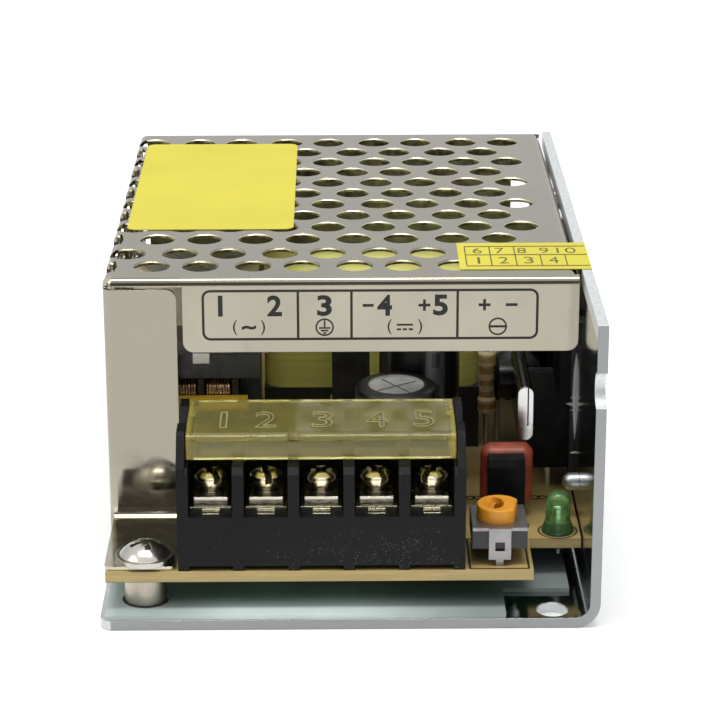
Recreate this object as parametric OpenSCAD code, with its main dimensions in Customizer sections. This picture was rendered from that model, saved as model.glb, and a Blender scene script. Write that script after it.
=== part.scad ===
// Small open-frame switching power supply: an L-shaped aluminium chassis, a perforated
// folded cover, a circuit board with its parts and a five-way screw terminal block.
// X runs to the right, Y to the back, Z up; the terminals face -Y.

/* [Case] */
// Overall width, from the left side of the cover to the outside of the chassis wall
case_w = 58; // [57:1:72]
// Overall depth
case_d = 85; // [83:1:110]
// Overall height
case_h = 37; // [36:1:50]
// Thickness of the aluminium chassis sheet
chassis_t = 1.2; // [1:0.1:2]
// Outside radius of the chassis bend
chassis_bend_r = 3; // [2.5:0.5:4]
// Radius of the chassis corner at the front left
chassis_corner_r = 1.5; // [0.5:0.5:3]
// Thickness of the insulating film on the base
film_t = 0.5; // [0.2:0.1:0.6]
// Diameter of the two mounting holes in the base
mount_hole_d = 3.8; // [3:0.1:4.4]
// Distance of the mounting holes from the outside of the wall
mount_hole_side = 5.4; // [5:0.1:8]
// Distance of the mounting holes from the front and back edges
mount_hole_end = 2.4; // [2.3:0.1:5]
// Diameter of the half-round notch in the front edge of the wall
wall_notch_d = 4.2; // [3:0.1:5]
// Height of the middle of that notch
wall_notch_z = 29.2; // [20:0.1:32]
// Diameter of the locating stud on the inside of the wall
wall_stud_d = 2.2; // [1.6:0.1:3]

/* [Cover] */
// Thickness of the cover sheet
cover_t = 0.5; // [0.4:0.1:0.8]
// Outside radius of the cover bends
cover_bend_r = 1; // [0.9:0.1:1.5]
// Set-back of the cover's front face behind the chassis edge
cover_front = 17.8; // [17.6:0.1:19]
// Set-back of the cover's back face
cover_back = 0.4; // [0.2:0.1:1]
// Gap between the cover and the chassis wall
cover_gap = 0.5; // [0.3:0.1:0.8]
// Height of the label flange across the front
label_flange_h = 9.2; // [6:0.1:10]
// Width of the corner flange at the front left
corner_flange_w = 8.7; // [8.4:0.1:9]
// Width of the slits that part the flanges
slit_w = 0.7; // [0.4:0.1:1]
// Width of the foot below the corner flange
foot_w = 8.3; // [7.2:0.1:8.4]
// Set-back of the foot's front edge behind the chassis edge
foot_front = 2.5; // [2.2:0.1:3]
// Depth of the lip along the right edge
lip_h = 2.6; // [2:0.1:4]
// Width and depth of the screw tongues on that lip
tongue_w = 9; // [7:0.5:12]
// Height of the open strip below the back flange
back_gap_h = 8; // [6.5:0.1:12]
// Width of the cut-out at the right edge of the back flange
back_cut_w = 3.8; // [3:0.1:6]
// Height of the lower edge of that cut-out
back_cut_z = 24.4; // [20:0.1:26]
// Height of that cut-out
back_cut_h = 5.8; // [4:0.1:8]

/* [Vents] */
// Diameter of the vent holes
vent_d = 4.4; // [3:0.1:4.8]
// Spacing of the hole rows
vent_row = 5.08; // [5:0.02:6]
// Spacing inside a pair of holes
vent_pair = 5.8; // [5.4:0.1:6.4]
// Spacing from pair to pair
vent_period = 12.1; // [11.2:0.1:13]
// First hole row behind the cover's front face
vent_first = 4.9; // [4:0.1:6]
// Extra gap behind the second hole row
vent_break = 0.95; // [0:0.05:2]

/* [Circuit board] */
// Thickness of the board
board_t = 1.3; // [1.2:0.1:2]
// Height of the standoffs under the board
standoff_h = 3.9; // [3.2:0.1:4.4]
// Diameter of the standoffs
standoff_d = 5; // [4.4:0.1:5.6]
// Set-back of the board's front edge
board_front = 2.1; // [1.6:0.1:2.2]
// Set-back of the board's back edge
board_back = 2; // [1.6:0.1:3]
// Clearance of the board beside the cover and the wall
board_gap = 0.15; // [0.1:0.05:0.2]
// Width of the notch at the board's front right
board_notch_w = 6.3; // [5.8:0.1:6.6]
// Depth of that notch
board_notch_d = 9.2; // [8.2:0.1:9.6]
// Diameter of the board screws' washer heads
screw_head_d = 6.9; // [5.5:0.1:7]
// Diameter of the screw threads
screw_d = 3; // [2.5:0.1:3]

/* [Terminal block] */
// Spacing of the terminals
way_pitch = 6.4; // [6.2:0.05:6.5]
// Thickness of the barriers
barrier_t = 1.3; // [1.1:0.05:1.5]
// Thickness of the end ears above the barriers
ear_t = 0.95; // [0.8:0.05:1]
// Set-back of the block's front face
block_front = 2.3; // [2.2:0.1:2.6]
// Depth of the block
block_d = 14.8; // [14.6:0.1:15]
// Height of the ledge that carries the contacts
ledge_h = 6.7; // [6:0.1:7.5]
// Height of the barriers
barrier_h = 12.6; // [12:0.1:13]
// Height of the end ears
ear_h = 16.1; // [15.9:0.1:17]
// Height of the cut-outs under the cells
block_relief_h = 0.6; // [0.4:0.1:1]
// Thickness of the contact plates
contact_t = 0.5; // [0.4:0.1:0.6]
// Thickness of the wire clamp plates
clamp_t = 1.1; // [0.8:0.1:1.3]
// Width of the wire clamp plates
clamp_w = 3.9; // [3.4:0.1:4.4]
// Diameter of the terminal screw heads
term_head_d = 3.8; // [3.2:0.1:4.2]
// Height of the terminal screw heads
term_head_h = 2.5; // [2:0.1:2.6]
// Diameter of the terminal screw shanks
term_shank_d = 2.4; // [2:0.1:2.6]

/* [Terminal cover] */
// Thickness of the hinged cover
lid_t = 1; // [0.8:0.1:1.2]
// Depth of the hinged cover, front lip to back edge
lid_d = 11.75; // [11:0.05:12]
// Height of the front lip
lid_lip_h = 3; // [2.6:0.1:3]
// Diameter of the hinge pins
hinge_pin_d = 1.6; // [1.2:0.1:1.8]
// Running clearance of pins, shanks and spindles, on the radius
run_gap = 0.05; // [0.03:0.01:0.08]

/* [Adjuster and lamp] */
// Width of the trimmer body
trimmer_w = 6.4; // [6:0.1:6.6]
// Depth of the trimmer body
trimmer_l = 7; // [6.6:0.1:7.2]
// Diameter of the trimmer rotor
rotor_d = 5.1; // [4.4:0.1:5.6]
// Diameter of the lamp
lamp_d = 3; // [2.8:0.1:3.2]

/* [Power parts] */
// Diameter of the output capacitors
out_cap_d = 10; // [9:0.1:10]
// Height of the front output capacitor
out_cap_h = 15.6; // [12:0.1:18]
// Height of the rear output capacitor
tall_cap_h = 20; // [16:0.1:22]
// Diameter of the bulk capacitor
bulk_cap_d = 16; // [14:0.1:16.2]
// Height of the bulk capacitor
bulk_cap_h = 25; // [20:0.1:27]
// Width of the transformer winding
winding_w = 27.6; // [24:0.1:28]
// Width of the transformer core
core_w = 10.2; // [8:0.1:11]
// Length of the transformer core
core_l = 20.6; // [18:0.1:22]
// Height of the transformer core
core_h = 20; // [18:0.1:25]
// Thickness of the transistor packages
package_t = 4.5; // [4:0.1:4.8]
// Thickness of the thermal pads
pad_t = 0.6; // [0.3:0.1:0.8]
// Thickness of the clamp bars
bar_t = 1.9; // [1.4:0.1:2.2]

/* [Hidden] */
$fn = 48;
// A little extra for cuts to run clear of a face
cut = 0.5;

// Planes of the case
wall_in = case_w - chassis_t;
cover_w = wall_in - cover_gap;
cover_rear = case_d - cover_back;
cover_len = cover_rear - cover_front;
bend_in = cover_bend_r - cover_t;
bend_z = case_h - cover_bend_r;
bend_right = cover_w - cover_bend_r;
sheet_front = cover_front + cover_bend_r;
sheet_len = cover_len - 2 * cover_bend_r;
sheet_rear = sheet_front + sheet_len;
label_flange_x = corner_flange_w + slit_w;
lip_z = case_h - lip_h;
vent_reach = cover_bend_r + 0.3;

// Planes of the board
board_z = chassis_t + standoff_h;
board_top = board_z + board_t;
board_x = cover_t + board_gap;
board_right = wall_in - board_gap;
board_rear = case_d - board_back;
screw_inset_x = 5.1;
screw_inset_y = 5.2;
rear_inset_y = 7;
standoff_spots = [
    [screw_inset_x, screw_inset_y],
    [screw_inset_x, case_d - rear_inset_y],
    [case_w - 8, case_d - rear_inset_y]
];
// Sheet under each board screw: the cover's two feet, and bare board
screw_seats = [board_top + cover_t, board_top + cover_t, board_top];

// Side screws through the wall into the tongues of the cover
side_screw_front = 26;
side_screw_back = 13;
side_screw_spots = [cover_front + side_screw_front, cover_rear - side_screw_back];
side_screw_z = case_h - tongue_w + 3;
side_head_d = screw_d + 2 * chassis_t - 0.4;

// Terminal block
ways = 5;
block_x = corner_flange_w + 0.4;
block_w = ways * way_pitch + barrier_t;
block_rear = block_front + block_d;
ledge_z = board_top + ledge_h;
barrier_z = board_top + barrier_h;
ear_z = board_top + ear_h;
cell_d = 10.4;
contact_inset = 2;
contact_z = ledge_z + contact_t;
clamp_z = contact_z + clamp_t;
term_y = block_front + 4.6;
shank_len = 5.2;
function way_x(i) = block_x + barrier_t / 2 + (i + 0.5) * way_pitch;

// Hinged cover
lid_gap = 0.12;
lid_x = block_x + ear_t + lid_gap;
lid_w = block_w - 2 * (ear_t + lid_gap);
lid_rear = block_rear - 0.35;
lid_front = lid_rear - lid_d;
lid_top = ear_z - 0.3;
hinge_y = lid_rear - 1.2;
hinge_z = lid_top - 1.2;

// Trimmer and lamp
trimmer_x = block_x + block_w + 0.85 + trimmer_w / 2;
trimmer_front = board_front + 1.1;
trimmer_y = trimmer_front + 0.3 + trimmer_l / 2;
trimmer_z = board_top + 2.1;
trimmer_body_h = 2.2;
trimmer_plate_t = 0.4;
rotor_z = trimmer_z + trimmer_body_h + trimmer_plate_t;
rotor_h = 1.7;
spindle_d = 2;
lamp_x = board_right - 2.65;
lamp_y = board_front + board_notch_d + 2.2;

// Power parts
pack_face = wall_in - pad_t;
pack_x = pack_face - package_t;
pack_w = 10;
pack_body_h = 9;
pack_tab_h = 6.5;
pack_tab_t = 1.3;
pack_z = board_top + 3.4;
bar_z = board_top + 7.2;
bar_h = 6.9;
bar_len = 14.6;
bar_screw_inset = 2;
// Back edge of each package, and the side its clamp screw stands on
pack_spots = [25.4, 60];
bar_spots = [25, 55.6];
bar_screws = [bar_spots[0] + bar_len - bar_screw_inset, bar_spots[1] + bar_screw_inset];
clamp_screw_z = bar_z + bar_h / 2;

out_cap_side = 25.7;
out_cap_x = block_x + out_cap_side;
out_cap_y = block_rear + 0.3 + out_cap_d / 2;
tall_cap_x = out_cap_x + 3.1;
tall_cap_y = out_cap_y + out_cap_d - 0.1;
trafo_x = tall_cap_x - 5.8;
trafo_front = tall_cap_y + out_cap_d / 2 + 0.4;
trafo_mid = trafo_front + core_l / 2;
trafo_rear = trafo_front + core_l;
tape_t = 0.3;
core_lift = 2.6;
core_z = board_top + core_lift;
yoke_t = 4.7;
core_leg_t = 3.2;
flange_t = 1;
winding_gap = 0.3;
bobbin_t = 0.8;
centre_leg_l = 6;
winding_span = core_l - 2 * core_leg_t - 2 * winding_gap;
winding_z = core_z + yoke_t + flange_t;
winding_h = core_h - 2 * yoke_t - 2 * flange_t;

choke_x = 2;
choke_front = cover_front + cover_t + 1.5;
choke_w = 16.4;
choke_d = 10.8;
choke_side_t = 2.5;
limb_h = 4.2;
limb_d = 6;
limb_z = board_top + 10.8;
limb_y = choke_front + (choke_d - limb_d) / 2;
choke_yoke_z = board_top + 17.4;
choke_yoke_h = 3;
coil_wall = 0.7;
coil_slip = 0.1;
coil_out = 2.2;
flange_plate = 0.8;
// Left face of each flange of the choke's bobbin
flange_spots = [
    choke_x + choke_side_t + coil_slip,
    choke_x + 8.9,
    choke_x + choke_w - choke_side_t - coil_slip - flange_plate
];

bulk_x = cover_t + 1.3 + bulk_cap_d / 2;
bulk_y = choke_front + choke_d + 3.5 + bulk_cap_d / 2;
part_gap = 1.5;
left_inset = cover_t + 1.7;
bridge_y = bulk_y + bulk_cap_d / 2 + part_gap;
bridge_t = 4;
chip_w = 6.4;
chip_l = 9.2;
opto_l = 4.8;
chip_x = trafo_x - 3.9;
rear_x = trafo_x - 9.4;
rear_row = trafo_rear + part_gap + 0.5;
film_cap_x = block_x + block_w + 5.7;
film_cap_y = block_rear + 1.9;
film_cap_w = 6.4;
film_cap_h = 9.2;
film_cap_t = 3.2;
sticker_t = 0.1;

silver = [0.76, 0.75, 0.72];
black = [0.1, 0.1, 0.11];
tape_yellow = [0.85, 0.75, 0.15];
lead_silver = [0.8, 0.8, 0.8];

// Moves the origin from the front left corner of the base to the middle of its underside
module from_corner() {
    translate([-case_w / 2, -case_d / 2, 0])
        children();
}

// Quarter of a flat ring in the quadrant that starts at the given angle
module quarter_ring(r, t, start) {
    rotate(start)
        intersection() {
            difference() {
                circle(r);
                circle(r - t);
            }
            square(r + cut);
        }
}

// Rectangle with rounded corners, from its lower left corner
module soft_rect(w, h, r) {
    translate([r, 0])
        square([w - 2 * r, h]);
    translate([0, r])
        square([w, h - 2 * r]);
    for (x = [r, w - r], y = [r, h - r])
        translate([x, y])
            circle(r);
}

// Stands a drawing of X and Z up, its front at y, and gives it thickness towards the back
module upright(y, t) {
    translate([0, y, 0])
        rotate([-90, 0, 0])
            mirror([0, 1, 0])
                linear_extrude(t)
                    children();
}

// Rectangle between two corners
module span_rect(x0, y0, x1, y1) {
    polygon([[x0, y0], [x1, y0], [x1, y1], [x0, y1]]);
}

// Runs a drawing of Y and Z along X, from x for a length
module along_x(x, len) {
    translate([x, 0, 0])
        rotate([90, 0, 90])
            linear_extrude(len)
                children();
}

// Round rod along X
module rod_x(x, y, z, d, len) {
    translate([x, y, z])
        rotate([0, 90, 0])
            cylinder(d = d, h = len);
}

// Straight wire leg from the board up
module leg(x, y, top, d = 0.7) {
    translate([x, y, board_top])
        cylinder(d = d, h = top - board_top, $fn = 16);
}

// Cross recess for a screw driver, its top at the origin
module cross_recess(size, width, depth) {
    for (turn = [0, 90])
        rotate(turn)
            translate([-size / 2, -width / 2, -depth])
                cube([size, width, depth + cut]);
}

module chassis_profile() {
    square([case_w - chassis_bend_r, chassis_t]);
    translate([wall_in, chassis_bend_r])
        square([chassis_t, case_h - chassis_bend_r]);
    translate([case_w - chassis_bend_r, chassis_bend_r])
        quarter_ring(chassis_bend_r, chassis_t, -90);
}

module corner_cutter(r) {
    translate([-cut, -cut, -cut])
        difference() {
            cube([r + cut, r + cut, chassis_t + 2 * cut]);
            translate([r + cut, r + cut, -cut])
                cylinder(r = r, h = chassis_t + 4 * cut);
        }
}

// Stud with a domed end on the inside of the wall
module wall_stud() {
    stud_len = 0.9;
    translate([wall_in, cover_front + 0.3, board_top + 4.5])
        rotate([0, -90, 0])
            rotate_extrude() {
                square([wall_stud_d / 2, stud_len]);
                translate([0, stud_len])
                    intersection() {
                        circle(wall_stud_d / 2);
                        square(wall_stud_d);
                    }
            }
}

module chassis() {
    color([0.74, 0.76, 0.76])
        from_corner() {
            difference() {
                upright(0, case_d)
                    chassis_profile();
                corner_cutter(chassis_corner_r);
                for (y = [mount_hole_end, case_d - mount_hole_end])
                    translate([case_w - mount_hole_side, y, -cut])
                        cylinder(d = mount_hole_d, h = chassis_t + 2 * cut);
                for (spot = standoff_spots)
                    translate([spot[0], spot[1], -cut])
                        cylinder(d = standoff_d - 1.6, h = chassis_t + 2 * cut);
                rod_x(wall_in - cut, 0, wall_notch_z, wall_notch_d, chassis_t + 2 * cut);
                for (y = side_screw_spots) {
                    rod_x(wall_in - cut, y, side_screw_z, screw_d, chassis_t + 2 * cut);
                    side_screw_head(y);
                }
                for (y = bar_screws)
                    rod_x(wall_in - cut, y, clamp_screw_z, screw_d, chassis_t + 2 * cut);
            }
            wall_stud();
        }
}

module cover_profile() {
    span_rect(0, chassis_t, cover_t, bend_z);
    span_rect(cover_bend_r, case_h - cover_t, bend_right, case_h);
    span_rect(cover_w - cover_t, lip_z, cover_w, bend_z);
    translate([cover_bend_r, bend_z])
        quarter_ring(cover_bend_r, cover_t, 90);
    translate([bend_right, bend_z])
        quarter_ring(cover_bend_r, cover_t, 0);
}

// Flange across the front, folded down from the top, with round lower corners
module label_flange() {
    corner_r = 1.3;
    flange_z = case_h - label_flange_h;
    flange_w = cover_w - label_flange_x;
    upright(cover_front, cover_t)
        intersection() {
            translate([label_flange_x, flange_z])
                soft_rect(flange_w, 2 * label_flange_h, corner_r);
            span_rect(label_flange_x, flange_z, cover_w, bend_z);
        }
    along_x(cover_bend_r, cover_w - cover_bend_r)
        translate([sheet_front, bend_z])
            quarter_ring(cover_bend_r, cover_t, 90);
}

// Flange folded in from the left side, and the foot at its lower end
module corner_flange() {
    corner_r = 1.2;
    flange_top = bend_z - slit_w / 2;
    flange_z = board_top + cover_bend_r;
    upright(cover_front, cover_t)
        intersection() {
            translate([-corner_flange_w, flange_z - case_h])
                soft_rect(2 * corner_flange_w, flange_top - flange_z + case_h, corner_r);
            translate([cover_bend_r, flange_z])
                square([corner_flange_w, case_h]);
        }
    translate([cover_bend_r, sheet_front, flange_z])
        linear_extrude(flange_top - flange_z)
            quarter_ring(cover_bend_r, cover_t, 180);
    along_x(cover_t, foot_w)
        translate([cover_front - bend_in, board_top + cover_bend_r])
            quarter_ring(cover_bend_r, cover_t, -90);
    foot_plate(foot_front, cover_front - bend_in);
}

module foot_plate(y_start, y_end) {
    corner_r = 0.8;
    translate([cover_t, y_start, board_top])
        linear_extrude(cover_t)
            soft_rect(foot_w, y_end - y_start, corner_r);
    translate([cover_t, y_end - corner_r, board_top])
        cube([foot_w, corner_r, cover_t]);
}

// Flange across the back with a cut-out at its right edge, and the foot inside it
module back_flange() {
    foot_len = 2 * rear_inset_y - cover_back - 4;
    foot_right = cover_t + foot_w;
    foot_bend_z = board_top + cover_bend_r;
    along_x(cover_bend_r, cover_w - cover_bend_r)
        translate([sheet_rear, bend_z])
            quarter_ring(cover_bend_r, cover_t, 0);
    upright(cover_rear - cover_t, cover_t) {
        difference() {
            span_rect(cover_bend_r, back_gap_h, cover_w, bend_z);
            span_rect(cover_w - back_cut_w, back_cut_z, cover_w + cut, back_cut_z + back_cut_h);
        }
        span_rect(cover_bend_r, foot_bend_z, foot_right, back_gap_h + cover_bend_r);
    }
    along_x(cover_bend_r, foot_right - cover_bend_r)
        translate([sheet_rear, foot_bend_z])
            quarter_ring(cover_bend_r, cover_t, -90);
    translate([cover_bend_r, sheet_rear - foot_len, board_top])
        cube([foot_right - cover_bend_r, foot_len, cover_t]);
}

// Tongues that reach down from the lip for the side screws
module lip_tongues() {
    for (y = side_screw_spots)
        translate([cover_w - cover_t, y - tongue_w / 2, case_h - tongue_w])
            cube([cover_t, tongue_w, tongue_w - lip_h / 2]);
}

// Rows of holes: the pattern runs on over the left bend and down the left side
module vents() {
    last_row = floor((cover_len - 2 * vent_first - vent_break) / vent_row);
    margin = vent_d / 2 + 2.2;
    pairs_down = ceil(case_h / vent_period);
    pairs_across = floor(cover_w / vent_period);
    pair_start = 5.6;
    row_shift = 3.1;
    for (row = [0 : last_row]) {
        y = cover_front + vent_first + row * vent_row + (row > 1 ? vent_break : 0);
        shift = pair_start + (row % 2) * row_shift;
        for (pair = [-pairs_down : pairs_across], second = [0, 1]) {
            u = shift + pair * vent_period + second * vent_pair;
            if (u > -vent_d / 2 && u < cover_w - margin)
                top_vent(u, y);
            if (u < vent_d / 2 && case_h + u > chassis_t + board_top + margin)
                side_vent(case_h + u, y);
        }
    }
}

// Both kinds of hole reach a little past the bend, so that one across it stays open
module top_vent(x, y) {
    translate([x, y, case_h - vent_reach])
        cylinder(d = vent_d, h = vent_reach + cut, $fn = 32);
}

module side_vent(z, y) {
    translate([-cut, y, z])
        rotate([0, 90, 0])
            cylinder(d = vent_d - 0.1, h = cut + vent_reach, $fn = 32);
}

module cover() {
    color(silver)
        from_corner()
            difference() {
                union() {
                    upright(sheet_front, sheet_len)
                        cover_profile();
                    label_flange();
                    corner_flange();
                    back_flange();
                    lip_tongues();
                }
                vents();
                for (i = [0, 1])
                    translate([standoff_spots[i][0], standoff_spots[i][1], board_top - cut])
                        cylinder(d = screw_d + 0.2, h = cover_t + 2 * cut);
                for (y = side_screw_spots)
                    rod_x(cover_w - cover_t - cut, y, side_screw_z, screw_d, cover_t + 2 * cut);
            }
}

module base_film() {
    side = cover_t + 0.1;
    notch_w = mount_hole_side + 5.5;
    notch_d = mount_hole_end + 4.9;
    film_right = case_w - chassis_bend_r;
    edge = 0.15;
    color([0.72, 0.78, 0.77])
        from_corner()
            translate([0, 0, chassis_t])
                linear_extrude(film_t)
                    difference() {
                        translate([side, edge])
                            square([film_right - side, case_d - 2 * edge]);
                        for (y = [0, case_d - notch_d])
                            translate([case_w - notch_w, y])
                                square([notch_w, notch_d]);
                        for (spot = standoff_spots)
                            translate(spot)
                                circle(d = standoff_d + 0.6);
                    }
}

module standoffs() {
    color([0.8, 0.79, 0.76])
        from_corner()
            for (spot = standoff_spots)
                translate([spot[0], spot[1], 0])
                    difference() {
                        union() {
                            translate([0, 0, chassis_t])
                                cylinder(d = standoff_d, h = standoff_h);
                            cylinder(d = standoff_d - 1.6, h = chassis_t);
                        }
                        translate([0, 0, -cut])
                            cylinder(d = screw_d, h = board_z + 2 * cut);
                    }
}

// Half section of a domed screw head with a washer rim, its seat at zero
module washer_head_section() {
    rim = 0.6;
    dome_r = screw_head_d / 2 - 0.5;
    dome_h = 1.5;
    square([screw_head_d / 2, rim]);
    translate([0, rim])
        intersection() {
            scale_r = (dome_r * dome_r + dome_h * dome_h) / (2 * dome_h);
            translate([0, dome_h - scale_r])
                circle(scale_r);
            square([dome_r, dome_h]);
        }
}

module board_screws() {
    head_top = 2.1;
    color(lead_silver)
        from_corner()
            for (i = [0 : len(standoff_spots) - 1])
                translate([standoff_spots[i][0], standoff_spots[i][1], screw_seats[i]])
                    difference() {
                        union() {
                            rotate_extrude()
                                washer_head_section();
                            translate([0, 0, chassis_t - screw_seats[i]])
                                cylinder(d = screw_d - 0.1, h = screw_seats[i] - chassis_t);
                        }
                        translate([0, 0, head_top])
                            rotate(20)
                                cross_recess(3.4, 0.7, 1.3);
                    }
}

// Countersunk head that lies flush in the outside of the wall
module side_screw_head(y) {
    translate([wall_in, y, side_screw_z])
        rotate([0, 90, 0])
            cylinder(d1 = screw_d - 0.4, d2 = side_head_d, h = chassis_t);
}

module side_screws() {
    tip = 1.6;
    color(lead_silver)
        from_corner()
            for (y = side_screw_spots)
                difference() {
                    union() {
                        side_screw_head(y);
                        rod_x(cover_w - cover_t - tip, y, side_screw_z, screw_d - 0.1,
                              cover_gap + cover_t + tip + chassis_t);
                    }
                    translate([case_w, y, side_screw_z])
                        rotate([0, 90, 0])
                            cross_recess(2.6, 0.6, 0.9);
                }
}

module circuit_board() {
    notch_x = board_right - board_notch_w;
    color([0.8, 0.68, 0.42])
        from_corner()
            translate([0, 0, board_z])
                linear_extrude(board_t)
                    difference() {
                        translate([board_x, board_front])
                            square([board_right - board_x, board_rear - board_front]);
                        translate([notch_x, 0])
                            square([board_notch_w + cut, board_front + board_notch_d]);
                        for (spot = standoff_spots)
                            translate(spot)
                                circle(d = screw_d + 0.2);
                    }
}

// Side outline of an ear: chamfered front, two humps with a dip between, as Y and Z
module ear_outline() {
    front_hump = [block_front + 2.8, block_front + 6];
    rear_hump = [block_front + 11.4, block_rear - 0.6];
    dip_z = ear_z - 1.9;
    polygon([
        [block_front, board_top],
        [block_front, barrier_z],
        [front_hump[0], ear_z - 0.2],
        [front_hump[0] + 0.5, ear_z],
        [front_hump[1], ear_z],
        [front_hump[1] + 1.6, dip_z],
        [rear_hump[0] - 1.6, dip_z],
        [rear_hump[0], ear_z],
        [rear_hump[1], ear_z],
        [block_rear, ear_z - 0.6],
        [block_rear, board_top]
    ]);
}

module barrier_outline() {
    chamfer = 0.7;
    polygon([
        [block_front, board_top],
        [block_front, barrier_z - chamfer],
        [block_front + chamfer, barrier_z],
        [block_rear, barrier_z],
        [block_rear, board_top]
    ]);
}

module terminal_housing() {
    color(black)
        from_corner()
            difference() {
                union() {
                    translate([block_x, block_front, board_top])
                        cube([block_w, block_d, ledge_h]);
                    translate([block_x, block_front + cell_d, board_top])
                        cube([block_w, block_d - cell_d, barrier_h]);
                    for (i = [0 : ways])
                        along_x(block_x + i * way_pitch, barrier_t)
                            barrier_outline();
                    for (x = [block_x, block_x + block_w - ear_t])
                        along_x(x, ear_t)
                            ear_outline();
                }
                for (i = [0 : ways - 1]) {
                    translate([block_x + barrier_t + i * way_pitch, block_front - cut, board_top - cut])
                        cube([way_pitch - barrier_t, block_d + 2 * cut, block_relief_h + cut]);
                    translate([way_x(i), term_y, ledge_z - shank_len])
                        cylinder(r = term_shank_d / 2 + run_gap, h = shank_len + cut);
                }
                rod_x(block_x - cut, hinge_y, hinge_z, hinge_pin_d + 2 * run_gap, block_w + 2 * cut);
            }
}

module terminal_contacts() {
    plate_w = way_pitch - barrier_t - 0.3;
    plate_front = block_front + contact_inset;
    plate_d = cell_d - contact_inset - 0.1;
    tongue_wide = 2;
    tongue_l = 1.4;
    color([0.82, 0.79, 0.6])
        from_corner()
            for (i = [0 : ways - 1])
                difference() {
                    union() {
                        translate([way_x(i) - plate_w / 2, plate_front, ledge_z])
                            cube([plate_w, plate_d, contact_t]);
                        translate([way_x(i) - tongue_wide / 2, plate_front - tongue_l, ledge_z])
                            cube([tongue_wide, tongue_l + cut, contact_t / 2]);
                    }
                    translate([way_x(i), term_y, ledge_z - cut])
                        cylinder(r = term_shank_d / 2 + run_gap, h = contact_t + 2 * cut);
                }
}

// Half section of a terminal screw: a thin washer and a head that flares out to its rim
module term_head_section() {
    rim_r = term_head_d / 2;
    neck_r = rim_r - 0.75;
    washer_r = rim_r - 0.4;
    washer_t = 0.3;
    rim_z = term_head_h - 0.75;
    polygon([
        [0, 0],
        [washer_r, 0],
        [washer_r, washer_t],
        [neck_r, washer_t],
        [neck_r + 0.1, washer_t + 0.35],
        [rim_r, rim_z],
        [rim_r, rim_z + 0.3],
        [rim_r - 0.7, term_head_h],
        [0, term_head_h]
    ]);
}

// Each terminal screw is left at its own turn
screw_turns = [25, 10, 48, 30, 62];

module terminal_screw(i) {
    tip = 0.4;
    color([0.85, 0.83, 0.76])
        from_corner()
            translate([way_x(i), term_y, clamp_z])
                difference() {
                    union() {
                        rotate_extrude()
                            term_head_section();
                        translate([0, 0, ledge_z - shank_len + tip - clamp_z])
                            cylinder(d = term_shank_d, h = clamp_z - ledge_z + shank_len - tip + 0.2);
                    }
                    translate([0, 0, term_head_h])
                        rotate(screw_turns[i])
                            cross_recess(term_head_d + cut, 0.8, 1.2);
                }
}

// Wire clamp plate with edges turned down at the front and the back
module clamp_plate(i) {
    clamp_l = 4.6;
    hollow = clamp_t - 0.6;
    rim = 0.8;
    color([0.78, 0.76, 0.68])
        from_corner()
            difference() {
                translate([way_x(i) - clamp_w / 2, term_y - clamp_l / 2, contact_z])
                    cube([clamp_w, clamp_l, clamp_t]);
                translate([way_x(i) - clamp_w / 2 - cut, term_y - clamp_l / 2 + rim, contact_z - cut])
                    cube([clamp_w + 2 * cut, clamp_l - 2 * rim, hollow + cut]);
                translate([way_x(i), term_y, contact_z - cut])
                    cylinder(d = term_shank_d, h = clamp_t + 2 * cut);
            }
}

// Side outline of the hinged cover as Y and Z: a flat top and a lip bent down in front
module lid_outline() {
    bend = lid_t;
    translate([lid_front + bend, lid_top - lid_t])
        square([lid_d - bend, lid_t]);
    translate([lid_front, lid_top - lid_lip_h])
        square([lid_t, lid_lip_h - bend]);
    translate([lid_front + bend, lid_top - bend])
        quarter_ring(bend, bend, 90);
}

module lid_end_outline() {
    lid_outline();
    translate([lid_front + lid_t, lid_top - lid_lip_h])
        square([hinge_y - lid_front - lid_t - 2, lid_lip_h]);
    translate([hinge_y, hinge_z])
        circle(r = lid_top - hinge_z);
}

module terminal_cover() {
    end_t = 0.9;
    catch_w = 1.1;
    catch_x = block_x + barrier_t / 2 + 2 * way_pitch;
    color([0.72, 0.7, 0.3, 0.6])
        from_corner()
            difference() {
                union() {
                    along_x(lid_x, lid_w)
                        lid_outline();
                    for (x = [lid_x, lid_x + lid_w - end_t])
                        along_x(x, end_t)
                            lid_end_outline();
                    for (x = [lid_x - lid_gap - ear_t, lid_x + lid_w - end_t])
                        rod_x(x, hinge_y, hinge_z, hinge_pin_d, ear_t + lid_gap + end_t);
                }
                translate([catch_x - catch_w / 2, lid_front - cut, lid_top - catch_w])
                    cube([catch_w, lid_t + cut, catch_w + cut]);
            }
}

module trimmer_body() {
    foot_d = 1;
    color([0.16, 0.16, 0.17])
        from_corner()
            difference() {
                union() {
                    translate([trimmer_x - trimmer_w / 2, trimmer_y - trimmer_l / 2, trimmer_z])
                        cube([trimmer_w, trimmer_l, trimmer_body_h]);
                    for (side = [-1, 1])
                        leg(trimmer_x + side * (trimmer_w / 2 - foot_d), trimmer_y + trimmer_l / 2 - foot_d,
                            trimmer_z, foot_d);
                }
                translate([trimmer_x, trimmer_y, trimmer_z - cut])
                    cylinder(r = spindle_d / 2 + run_gap, h = trimmer_body_h + 2 * cut);
            }
}

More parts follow.
